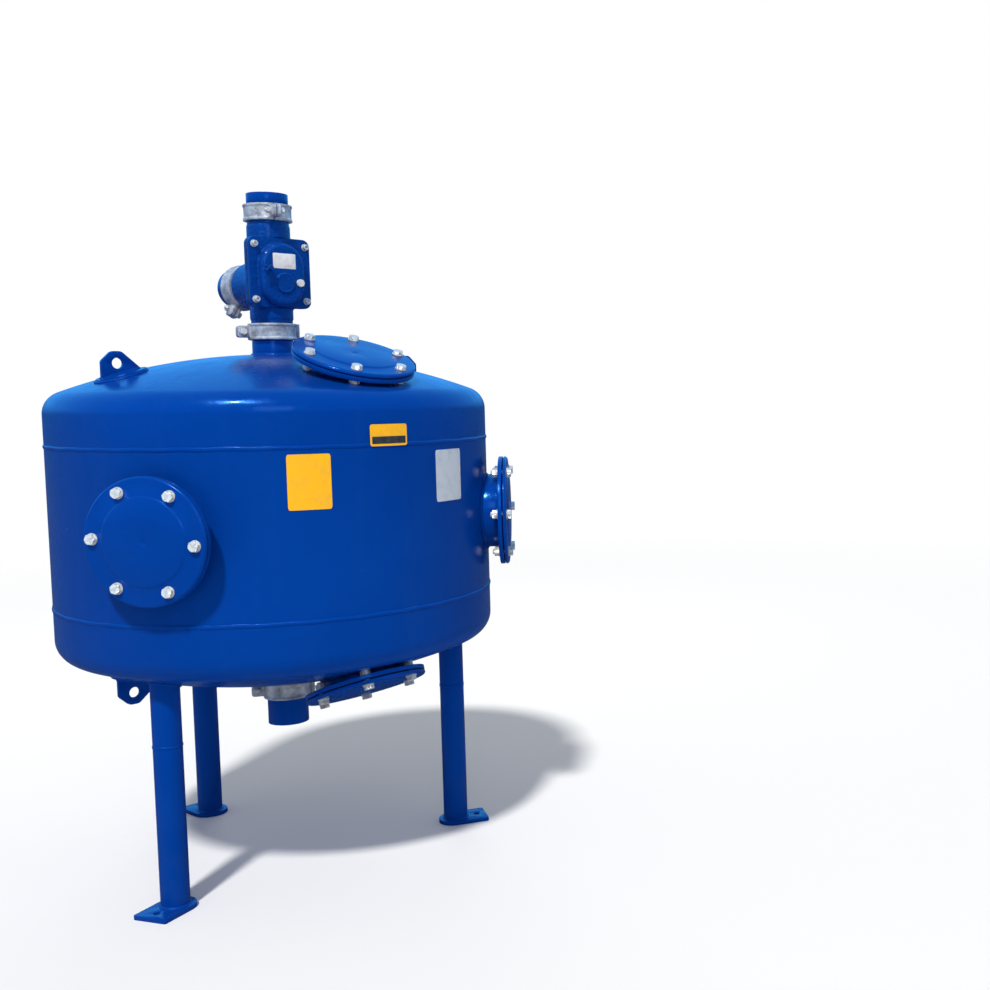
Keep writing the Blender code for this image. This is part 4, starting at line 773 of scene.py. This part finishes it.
def box_piece(name, low, high, edge=0.0, along=2):
    """Block between two corners, the edges along one axis rounded over."""
    bpy.ops.object.select_all(action="DESELECT")
    low, high = Vector(low), Vector(high)
    bpy.ops.mesh.primitive_cube_add(size=1, location=(low + high) / 2, scale=high - low)
    piece = bpy.context.object
    piece.name = name
    bpy.ops.object.transform_apply(location=True, rotation=True, scale=True)
    if edge:
        to_edit(piece)
        bpy.ops.mesh.select_all(action="DESELECT")
        bpy.ops.object.mode_set(mode="OBJECT")
        for side in piece.data.edges:
            ends = [piece.data.vertices[v].co for v in side.vertices]
            side.select = abs((ends[1] - ends[0]).normalized()[along]) > 0.9
        bpy.ops.object.mode_set(mode="EDIT")
        bpy.ops.mesh.select_mode(type="EDGE")
        bpy.ops.mesh.bevel(offset=edge, segments=8, profile=0.5)
        bpy.ops.object.mode_set(mode="OBJECT")
    return piece


def cover_outline(steps=8, shrink=0.0):
    side, low, high = COVER_HALF_WIDTH - shrink, COVER_BOTTOM + shrink, COVER_TOP - shrink
    return rounded([(-side, low), (side, low), (side, high), (-side, high)], [COVER_CORNER] * 4, steps)


def round_solid(radius, low, high, steps=72):
    return turned_piece("solid", [(0, low), (radius, low), (radius, high), (0, high)], steps)


barrel = turned_piece("barrel", [
    (0, PORT_TOP), (PIPE_RADIUS, PORT_TOP), (PIPE_RADIUS, 0.1712), (BARREL, 0.1664), (BARREL, -0.0984),
    (PIPE_RADIUS, -0.1032), (PIPE_RADIUS, PORT_BOTTOM), (0, PORT_BOTTOM)], 72)
settle(barrel, TO_UPRIGHT)
drain_barrel = turned_piece("drain_barrel", [
    (0, FLANGE_FACE), (DRAIN_SHOULDER, FLANGE_FACE), (DRAIN_SHOULDER, -0.010), (DRAIN_BARREL, -0.020),
    (DRAIN_BARREL, -0.094),
    (PIPE_RADIUS, -0.106), (PIPE_RADIUS, -DRAIN_REACH + GAP), (0, -DRAIN_REACH + GAP)], 72)
bulge = box_piece("bulge", (-0.075, 0, -0.019), (0.075, 0.109, 0.0293), 0.025)
body_flange = settle(plate_piece("body_flange", cover_outline(8, FIT), FLANGE_DEPTH, (), 0),
                     Matrix.Translation((0, 0, FLANGE_FACE - FLANGE_DEPTH)))
valve_casting = join("valve_casting", [barrel, drain_barrel, bulge, body_flange])
cast_skin(valve_casting, grain=0.0024, rounds=4)
combine(valve_casting, box_piece("face_cut", (-0.2, -0.070, FLANGE_FACE), (0.2, 0.132, 0.2)), "DIFFERENCE")
for low, high in ((PORT_TOP - GROOVE_FAR, PORT_TOP - GROOVE_NEAR),
                  (PORT_BOTTOM + GROOVE_NEAR, PORT_BOTTOM + GROOVE_FAR)):
    groove = turned_piece("groove", [(GROOVE_FLOOR, low), (0.066, low), (0.066, high),
                                     (GROOVE_FLOOR, high)], 72)
    combine(valve_casting, settle(groove, TO_UPRIGHT), "DIFFERENCE")
tank_duct = settle(round_solid(PIPE_BORE, -0.085, 0.0), TO_UPRIGHT)
combine(tank_duct, box_piece("between_walls", (-0.1, -0.1, DRAIN_WALL_FRONT), (0.1, 0.1, SEAT_WALL_BACK)),
        "INTERSECT")
hollows = [
    tank_duct,
    # supply port, the throat below it, and the tank port
    settle(round_solid(PIPE_BORE, 0.139, 0.30), TO_UPRIGHT),
    settle(round_solid(0.042, 0.060, 0.1393), Matrix.Translation((0, 0, -0.007)) @ TO_UPRIGHT),
    settle(round_solid(PIPE_BORE, -0.25, -0.077), TO_UPRIGHT),
    # duct behind the bonnet, the bonnet's sleeve, the supply seat, the middle chamber and the drain seat
    box_piece("supply_duct", (-0.046, 0, SEAT_WALL_FRONT), (0.046, 0.076, 0.030)),
    round_solid(PISTON_SLEEVE, 0.002, 0.051),
    round_solid(SUPPLY_SEAT_BORE, -0.0105, 0.030),
    round_solid(0.060, -0.048, -0.010),
    round_solid(DRAIN_SEAT_BORE, DRAIN_WALL_BACK, DRAIN_WALL_FRONT),
    turned_piece("drain_room", [(0, -0.056), (0.062, -0.056), (0.062, -0.094), (PIPE_BORE, -0.106),
                                (PIPE_BORE, -0.146), (0, -0.146)], 72),
]
for hollow in hollows:
    combine(valve_casting, hollow, "DIFFERENCE")
settle(valve_casting, VALVE_PLACE)
ease_edges(valve_casting, 0, angle=38)
dress(valve_casting, casting, "blue_casting", "valve_body")

# Valve bonnet
# A second casting closes the front: a square plate, a tall rounded chamber for the piston with a
# bare round medallion on it, and a bored sleeve behind. Four socket screws hold it on its gasket.
BONNET_DEPTH, DOME_HALF_WIDTH, DOME_BOTTOM, DOME_TOP, DOME_EDGE = 0.012, 0.0675, -0.0675, 0.1155, 0.014
SCREW_MIDDLE, SCREW_ACROSS, SCREW_UP = 0.031, 0.079, 0.078
bonnet_plate = settle(plate_piece("bonnet_plate", cover_outline(), BONNET_DEPTH, (), 0),
                      Matrix.Translation((0, 0, BONNET_FACE - BONNET_DEPTH)))
dome_corners = [(-DOME_HALF_WIDTH, DOME_BOTTOM), (DOME_HALF_WIDTH, DOME_BOTTOM),
                (DOME_HALF_WIDTH, DOME_TOP), (-DOME_HALF_WIDTH, DOME_TOP)]
dome = settle(plate_piece("dome", rounded(dome_corners, [0.066] * 4, 14), 0.029, (), 0),
              Matrix.Translation((0, 0, BONNET_FACE - 0.006)))
to_edit(dome)
bpy.ops.mesh.select_all(action="DESELECT")
bpy.ops.object.mode_set(mode="OBJECT")
for face in dome.data.polygons:
    face.select = face.normal.z > 0.9
bpy.ops.object.mode_set(mode="EDIT")
bpy.ops.mesh.select_mode(type="FACE")
bpy.ops.mesh.bevel(offset=DOME_EDGE, segments=7, profile=0.5)
bpy.ops.object.mode_set(mode="OBJECT")
medallion = turned_piece("medallion", [
    (0, 0.050), (0.028, 0.050), (0.028, 0.0840), (0.0272, 0.0850), (0.0250, 0.0850), (0.0242, 0.0838),
    (0, 0.0838)], 64)
rim = turned_piece("rim", [(0.0655, 0.030), (0.0655, 0.051), (0.02, 0.051), (0.02, 0.030)], 64)
bonnet = cast_skin(join("bonnet", [bonnet_plate, dome, medallion, rim]), grain=0.0017, rounds=2)
combine(bonnet, round_solid(0.0606, 0.022, DOME_FACE - 0.006), "DIFFERENCE")
for x, y in ((-0.052, 0.040), (0.046, 0.003)):  # tapped holes of the fitting and the plug
    tapped_hole = settle(round_solid(0.0070, 0.057, 0.086, 24), Matrix.Translation((x, y, 0)))
    combine(bonnet, tapped_hole, "DIFFERENCE")
settle(bonnet, VALVE_PLACE)
ease_edges(bonnet, 0, angle=38)
dress(bonnet, casting, "blue_casting", "valve_cover")

# M10 socket screw with its washer, from a point inside the bonnet's plate outwards
SCREW_SHANK, SCREW_HEAD, SCREW_UNDER, SCREW_TOP, SOCKET = 0.0052, 0.0080, 0.0141, 0.0241, 0.0046
screw = turned_piece("screw", [(0, 0.0), (SCREW_SHANK, 0.0), (SCREW_SHANK, SCREW_UNDER),
                               (SCREW_HEAD, SCREW_UNDER), (SCREW_HEAD, SCREW_TOP - 0.0009),
                               (SCREW_HEAD - 0.0008, SCREW_TOP), (0, SCREW_TOP)], 32)
bpy.ops.object.select_all(action="DESELECT")
bpy.ops.mesh.primitive_cylinder_add(vertices=6, radius=SOCKET, depth=0.012, location=(0, 0, SCREW_TOP))
combine(screw, bpy.context.object, "DIFFERENCE")
screw = join("screw", [ease_edges(screw, 0.0003), washer("screw_washer", 0.0054, 0.0102, 0.0122, 0.0140)])
screws = [spare(screw, "bonnet_screw",
                VALVE_PLACE @ Matrix.Translation((x, SCREW_MIDDLE + y, BONNET_FACE - 0.0122)))
          for x in (-SCREW_ACROSS, SCREW_ACROSS) for y in (-SCREW_UP, SCREW_UP)]
bpy.data.objects.remove(screw)
dress(join("bonnet_screws", screws), zinc, "blue_casting")

# The bonnet's paper label, left bare
label_paper = mottled("label_paper", clean=(0.80, 0.81, 0.82), worn=(0.52, 0.54, 0.56), noise=(70.0, 6.0),
                      low=0.45, high=0.8, roughness=0.35, dulled=0.6)
LABEL_SIDE, LABEL_UP = 0.035, 0.0215
label_outline = rounded([(-LABEL_SIDE, -LABEL_UP), (LABEL_SIDE, -LABEL_UP), (LABEL_SIDE, LABEL_UP),
                         (-LABEL_SIDE, LABEL_UP)], [0.003] * 4, 5)
bonnet_label = settle(plate_piece("bonnet_label", label_outline, 0.0007, (), 0.0002),
                      VALVE_PLACE @ Matrix.Translation((0, 0.0630, DOME_FACE - 0.0002)))
dress(bonnet_label, label_paper, "white_plastic")

# Pipe couplings
# Hinged two-piece clamps, cast in aluminium and left bare: two half rings with keyed edges that
# sit in the pipes' grooves over a rubber gasket, a pin hinge and one bolt through a pair of ears.
alloy = mottled("cast_alloy", clean=(0.62, 0.64, 0.66), worn=(0.20, 0.21, 0.23), noise=(34.0, 7.0, 0.62),
                low=0.35, high=0.70, roughness=0.38, dulled=0.62, metal=0.38)
alloy_tree = alloy.node_tree
alloy_shader = alloy_tree.nodes["Principled BSDF"]
alloy_place = alloy_tree.nodes.new("ShaderNodeTexCoord").outputs["Object"]
alloy_skin = alloy_tree.nodes.new("ShaderNodeGroup")
alloy_skin.node_tree = skin_group
alloy_skin.inputs["Wave"].default_value = 120.0
alloy_skin.inputs["Grain"].default_value = 700.0
alloy_skin.inputs["Grain Share"].default_value = 0.8
alloy_tree.links.new(alloy_place, alloy_skin.inputs["Vector"])
alloy_bump = alloy_tree.nodes.new("ShaderNodeBump")
alloy_bump.inputs["Distance"].default_value = 0.0016
alloy_tree.links.new(alloy_skin.outputs["Height"], alloy_bump.inputs["Height"])
alloy_tree.links.new(alloy_bump.outputs["Normal"], alloy_shader.inputs["Normal"])

key, wall, cavity, half_width = PIPE_RADIUS - 0.0018, 0.0675, 0.0630, 0.02375
BOLT_REACH, EAR_SEAT, SPLIT, PIN, KNUCKLE = 0.0840, 0.0155, 0.0015, 0.0030, 0.0070
ring = turned_piece("ring", [
    (wall - 0.0012, half_width), (wall, half_width - 0.0012), (wall, half_width - 0.0062),
    (wall - 0.0022, half_width - 0.0084), (wall - 0.0026, 0), (wall - 0.0022, 0.0084 - half_width),
    (wall, 0.0062 - half_width), (wall, 0.0012 - half_width), (wall - 0.0012, -half_width),
    (key, -half_width), (key, 0.006 - half_width), (cavity, 0.006 - half_width),
    (cavity, half_width - 0.006), (key, half_width - 0.006), (key, half_width)], 80)
ears = box_piece("ears", (cavity + 0.0005, -0.0125, -0.017), (0.100, 0.0125, 0.017), 0.0085, 1)
boss = settle(round_solid(0.0125, -EAR_SEAT, EAR_SEAT, 40),
              Matrix.Translation((BOLT_REACH, 0, 0)) @ Matrix.Rotation(math.radians(90), 4, "X"))
ribs = [box_piece("rib", (0.050, -0.0122, level), (0.092, 0.0122, level + 0.004))
        for level in (-0.0165, 0.0125)]
clamp = cast_skin(join("clamp", [ring, ears, boss, *ribs]), grain=0.0016, rounds=1)
halves = {}
for half, sign in (("a", 1), ("b", -1)):
    keep = sorted((sign * SPLIT, sign * 0.2))
    piece = spare(clamp, "half_" + half, Matrix.Identity(4))
    combine(piece, box_piece("keep", (-0.2, keep[0], -0.1), (0.2, keep[1], 0.1)), "INTERSECT")
    hinge_x = -cavity - 0.0073
    rounds = [(-half_width, -0.0082), (0.0082, half_width)] if half == "a" else [(-0.0079, 0.0079)]
    knuckles = [piece]
    for low, high in rounds:
        knuckle = turned_piece("knuckle", [
            (0, low), (KNUCKLE - 0.0008, low), (KNUCKLE, low + 0.0008), (KNUCKLE, high - 0.0008),
            (KNUCKLE - 0.0008, high), (0, high)], 28)
        knuckles.append(settle(knuckle, Matrix.Translation((hinge_x, 0, 0))))
    if half == "b":
        pin = turned_piece("pin", [(0, -half_width - 0.0001), (PIN, -half_width), (PIN, half_width),
                                   (0, half_width + 0.0001)], 20)
        knuckles.append(settle(pin, Matrix.Translation((hinge_x, 0, 0))))
    halves[half] = ease_edges(join("half_" + half, knuckles), 0, angle=38)
bpy.data.objects.remove(clamp)
clamp_bolt = hex_bolt("clamp_bolt", radius=0.005, across_flats=0.016, head=0.0066, nut=0.0082,
                      washer_radius=0.0092, washer_thick=0.0016, grip=2 * EAR_SEAT, spare_end=0.005)
settle(clamp_bolt, Matrix.Translation((BOLT_REACH, EAR_SEAT, 0))
       @ Matrix.Rotation(math.radians(-90), 4, "X"))
pipe_joints = {  # each joint's place, and the degrees that its ears are turned to
    "tank": (Matrix.Translation((0, 0, TANK_COUPLING_Z)), 165),
    "supply": (Matrix.Translation((0, 0, SUPPLY_COUPLING_Z)), 255),
    "outlet": (Matrix.Translation((0, 0, OUTLET_COUPLING_Z)), 150),
    "drain": (VALVE_PLACE @ Matrix.Translation((0, 0, -DRAIN_REACH)), 240),
}
for joint, (pipe, ear_turn) in pipe_joints.items():
    place = pipe @ turn_z(ear_turn)
    for half, pattern in halves.items():
        housing = spare(pattern, joint + "_clamp_" + half, place)
        dress(housing, alloy, "cast_alloy", joint + "_coupling_" + half)
    dress(spare(clamp_bolt, joint + "_clamp_bolt", place), zinc, "cast_alloy")
for pattern in (*halves.values(), clamp_bolt):
    bpy.data.objects.remove(pattern)

# Labels
# Three bare stick-on plates on the front of the tank: a yellow one and a silver one on the shell,
# and a small yellow one above the upper seam. Each follows the shell's curve.
STICKER_GRIME = {"noise": (38.0, 7.0, 0.65), "low": 0.48, "high": 0.80, "roughness": 0.28, "dulled": 0.55}
sticker_yellow = mottled("sticker_yellow", (0.93, 0.45, 0.001), (0.76, 0.38, 0.015), **STICKER_GRIME)
sticker_silver = mottled("sticker_silver", (0.66, 0.70, 0.74), (0.50, 0.54, 0.58), metal=0.25,
                         **STICKER_GRIME)


def sticker_plate(name, material, azimuth, height, wide, tall, lift=0.0008, corner=0.006):
    """Thin plate with rounded corners, wrapped on the shell."""
    bpy.ops.object.select_all(action="DESELECT")
    bpy.ops.mesh.primitive_grid_add(x_subdivisions=28, y_subdivisions=18, size=1)
    plate = bpy.context.object
    plate.name = name
    for point in plate.data.vertices:
        x, y = point.co.x * wide, point.co.y * tall
        over_x, over_y = abs(x) - (wide / 2 - corner), abs(y) - (tall / 2 - corner)
        if over_x > 0 and over_y > 0:
            away = math.hypot(over_x, over_y)
            pull = min(1.0, corner / away) if away > corner else 1.0
            x = math.copysign(wide / 2 - corner + over_x * pull, x)
            y = math.copysign(tall / 2 - corner + over_y * pull, y)
        turn = math.radians(azimuth) + x / TANK_RADIUS
        reach = TANK_RADIUS + lift
        point.co = (reach * math.cos(turn), reach * math.sin(turn), height + y)
    thick = plate.modifiers.new("Thickness", "SOLIDIFY")
    thick.thickness = 0.0010
    thick.offset = 0.0
    bpy.context.view_layer.objects.active = plate
    bpy.ops.object.modifier_apply(modifier=thick.name)
    to_edit(plate)
    bpy.ops.mesh.normals_make_consistent(inside=False)
    to_object()
    ease_edges(plate, 0)
    return dress(plate, material, "blue_enamel")


sticker_plate("yellow_plate", sticker_yellow, azimuth=247.2, height=1.1325, wide=0.107, tall=0.141)
sticker_plate("silver_plate", sticker_silver, azimuth=287.6, height=1.1270, wide=0.111, tall=0.142)
sticker_plate("small_plate", sticker_yellow, azimuth=267.4, height=1.2450, wide=0.108, tall=0.057,
              lift=0.0026)
sticker_plate("small_plate_band", rubber, azimuth=267.4, height=1.2320, wide=0.098, tall=0.019,
              lift=0.0032, corner=0.001)

# Inner works
# What keeps its packed form and only gets its finish: inside, the strainer plate and stem in
# stainless steel, a bronze seat, a moulded piston, rubber discs and the bed of graded sand, and
# outside, the bonnet's painted fitting and its white plug.
plain_finishes = {  # clean colour, worn colour, roughness, metallic, patches' scale, bump depth
    "stainless": ((0.56, 0.57, 0.58), (0.42, 0.43, 0.44), 0.26, 1.0, 220.0, 0.0002),
    "bronze": ((0.50, 0.30, 0.12), (0.33, 0.20, 0.10), 0.38, 1.0, 160.0, 0.0002),
    "black_plastic": ((0.022, 0.022, 0.024), (0.045, 0.045, 0.045), 0.42, 0.0, 300.0, 0.0002),
    "white_plastic": ((0.80, 0.80, 0.77), (0.62, 0.61, 0.56), 0.40, 0.0, 120.0, 0.0002),
    "sand": ((0.58, 0.46, 0.29), (0.36, 0.27, 0.16), 0.92, 0.0, 900.0, 0.0012),
}
finishes = {"blue_casting": casting, "black_rubber": rubber, "blue_enamel": enamel, "cast_alloy": alloy}
for finish, (color, worn, roughness, metal, scale, depth) in plain_finishes.items():
    finishes[finish] = mottled(finish, color, worn, noise=(scale, 5.0, 0.6), low=0.38, high=0.70,
                               roughness=roughness, dulled=min(1.0, roughness + 0.14),
                               metal=metal, depth=depth)
for entry in frame["record"]["subparts"]:
    node = frame["nodes"][entry["node"]]
    if not node.hide_render:
        for index in range(len(node.material_slots)):
            node.material_slots[index].material = finishes[entry["material_slot"]]

# Studio
# A pale floor under a white surround, a soft sun from the upper left with two weak lamps, and the
# camera where the photograph was taken from. The floor fades into the surround away from the tank,
# and gloss shows a blue sky over a dark yard.
bpy.ops.object.select_all(action="DESELECT")
bpy.ops.mesh.primitive_plane_add(size=60, location=(0, 0, 0))
floor = bpy.context.object
floor.name = "floor"
floor_paint = bpy.data.materials.new("floor_paint")
floor_paint.use_nodes = True
floor_paint.cycles.emission_sampling = "NONE"
floor_tree = floor_paint.node_tree
floor_shader = floor_tree.nodes["Principled BSDF"]
floor_rays = floor_tree.nodes.new("ShaderNodeLightPath")
PALE_FLOOR, YARD_IN_GLOSS = (0.87, 0.87, 0.87), (0.05, 0.08, 0.15)
floor_tree.links.new(tint(floor_tree, floor_rays.outputs["Is Glossy Ray"], PALE_FLOOR, YARD_IN_GLOSS),
                     floor_shader.inputs["Base Color"])
floor_shader.inputs["Roughness"].default_value = 0.9
floor_shader.inputs["Specular IOR Level"].default_value = 0.1
from_axis = floor_tree.nodes.new("ShaderNodeVectorMath")
from_axis.operation = "LENGTH"
floor_tree.links.new(floor_tree.nodes.new("ShaderNodeTexCoord").outputs["Object"], from_axis.inputs[0])
far_off = calc(floor_tree, "MULTIPLY", spread(floor_tree, from_axis.outputs["Value"], 2.0, 8.0),
               floor_rays.outputs["Is Camera Ray"])
surround = floor_tree.nodes.new("ShaderNodeEmission")
blended = floor_tree.nodes.new("ShaderNodeMixShader")
floor_tree.links.new(far_off, blended.inputs[0])
floor_tree.links.new(floor_shader.outputs["BSDF"], blended.inputs[1])
floor_tree.links.new(surround.outputs["Emission"], blended.inputs[2])
floor_tree.links.new(blended.outputs[0], floor_tree.nodes["Material Output"].inputs["Surface"])
floor.data.materials.append(floor_paint)

world = bpy.data.worlds.new("studio")
bpy.context.scene.world = world
world.use_nodes = True
sky = world.node_tree
sky.nodes.clear()
rays = sky.nodes.new("ShaderNodeLightPath")
lit = sky.nodes.new("ShaderNodeBackground")
lit.inputs["Color"].default_value = (0.90, 0.95, 1.0, 1)
lit.inputs["Strength"].default_value = 0.36
mirrored = sky.nodes.new("ShaderNodeBackground")
sky_way = sky.nodes.new("ShaderNodeSeparateXYZ")
sky.links.new(sky.nodes.new("ShaderNodeTexCoord").outputs["Generated"], sky_way.inputs[0])
sky_height = spread(sky, sky_way.outputs["Z"], 0.0, 0.16)
sky.links.new(tint(sky, sky_height, (0.02, 0.07, 0.20), (0.07, 0.42, 1.00)), mirrored.inputs["Color"])
mirrored.inputs["Strength"].default_value = 1.5
seen = sky.nodes.new("ShaderNodeBackground")
seen.inputs["Color"].default_value = (1, 1, 1, 1)
seen.inputs["Strength"].default_value = 1.0
glossed = sky.nodes.new("ShaderNodeMixShader")
chosen = sky.nodes.new("ShaderNodeMixShader")
sky_out = sky.nodes.new("ShaderNodeOutputWorld")
sky.links.new(rays.outputs["Is Camera Ray"], chosen.inputs[0])
sky.links.new(rays.outputs["Is Glossy Ray"], glossed.inputs[0])
sky.links.new(lit.outputs[0], glossed.inputs[1])
sky.links.new(mirrored.outputs[0], glossed.inputs[2])
sky.links.new(glossed.outputs[0], chosen.inputs[1])
sky.links.new(seen.outputs[0], chosen.inputs[2])
sky.links.new(chosen.outputs[0], sky_out.inputs["Surface"])


def soft_light(name, place, target, size, power, color, mirrored_in_paint):
    lamp = bpy.data.lights.new(name, "AREA")
    lamp.shape = "RECTANGLE"
    lamp.size, lamp.size_y = size
    lamp.energy = power
    lamp.color = color
    holder = bpy.data.objects.new(name, lamp)
    holder.visible_glossy = mirrored_in_paint
    bpy.context.scene.collection.objects.link(holder)
    look = (Vector(target) - Vector(place)).to_track_quat("-Z", "Y")
    holder.matrix_world = Matrix.Translation(place) @ look.to_matrix().to_4x4()


sun_data = bpy.data.lights.new("key_light", "SUN")
sun_data.energy = 2.9
sun_data.angle = math.radians(5)
sun_data.color = (1.0, 0.98, 0.95)
sun = bpy.data.objects.new("key_light", sun_data)
bpy.context.scene.collection.objects.link(sun)
sun_comes_from = Vector((-3.0, -2.0, 4.6))
sun.matrix_world = (Vector((0, 0, 0)) - sun_comes_from).to_track_quat("-Z", "Y").to_matrix().to_4x4()
soft_light("fill_light", place=(-2.6, -4.4, 3.0), target=(0, 0, 1.0), size=(1.6, 1.6), power=26,
           color=(0.92, 0.96, 1.0), mirrored_in_paint=True)
soft_light("back_light", place=(2.6, 3.6, 3.6), target=(0, 0, 1.1), size=(2.4, 1.6), power=40,
           color=(0.95, 0.97, 1.0), mirrored_in_paint=False)

camera_data = bpy.data.cameras.new("camera")
camera_data.lens = 45.56
camera_data.sensor_width = 36.0
camera_data.shift_x = -0.2534
camera_data.shift_y = -0.001
camera = bpy.data.objects.new("camera", camera_data)
bpy.context.scene.collection.objects.link(camera)
camera_stands_at = Matrix.Translation((-1.949, -3.415, 1.350))
camera_turn = Matrix(((0.639459, 0.070826, -0.765556, 0), (-0.768737, 0.043809, -0.638063, 0),
                      (-0.011654, 0.996526, 0.082460, 0), (0, 0, 0, 1)))
camera.matrix_world = camera_stands_at @ camera_turn
bpy.context.scene.camera = camera
bpy.context.scene.view_settings.view_transform = "Standard"
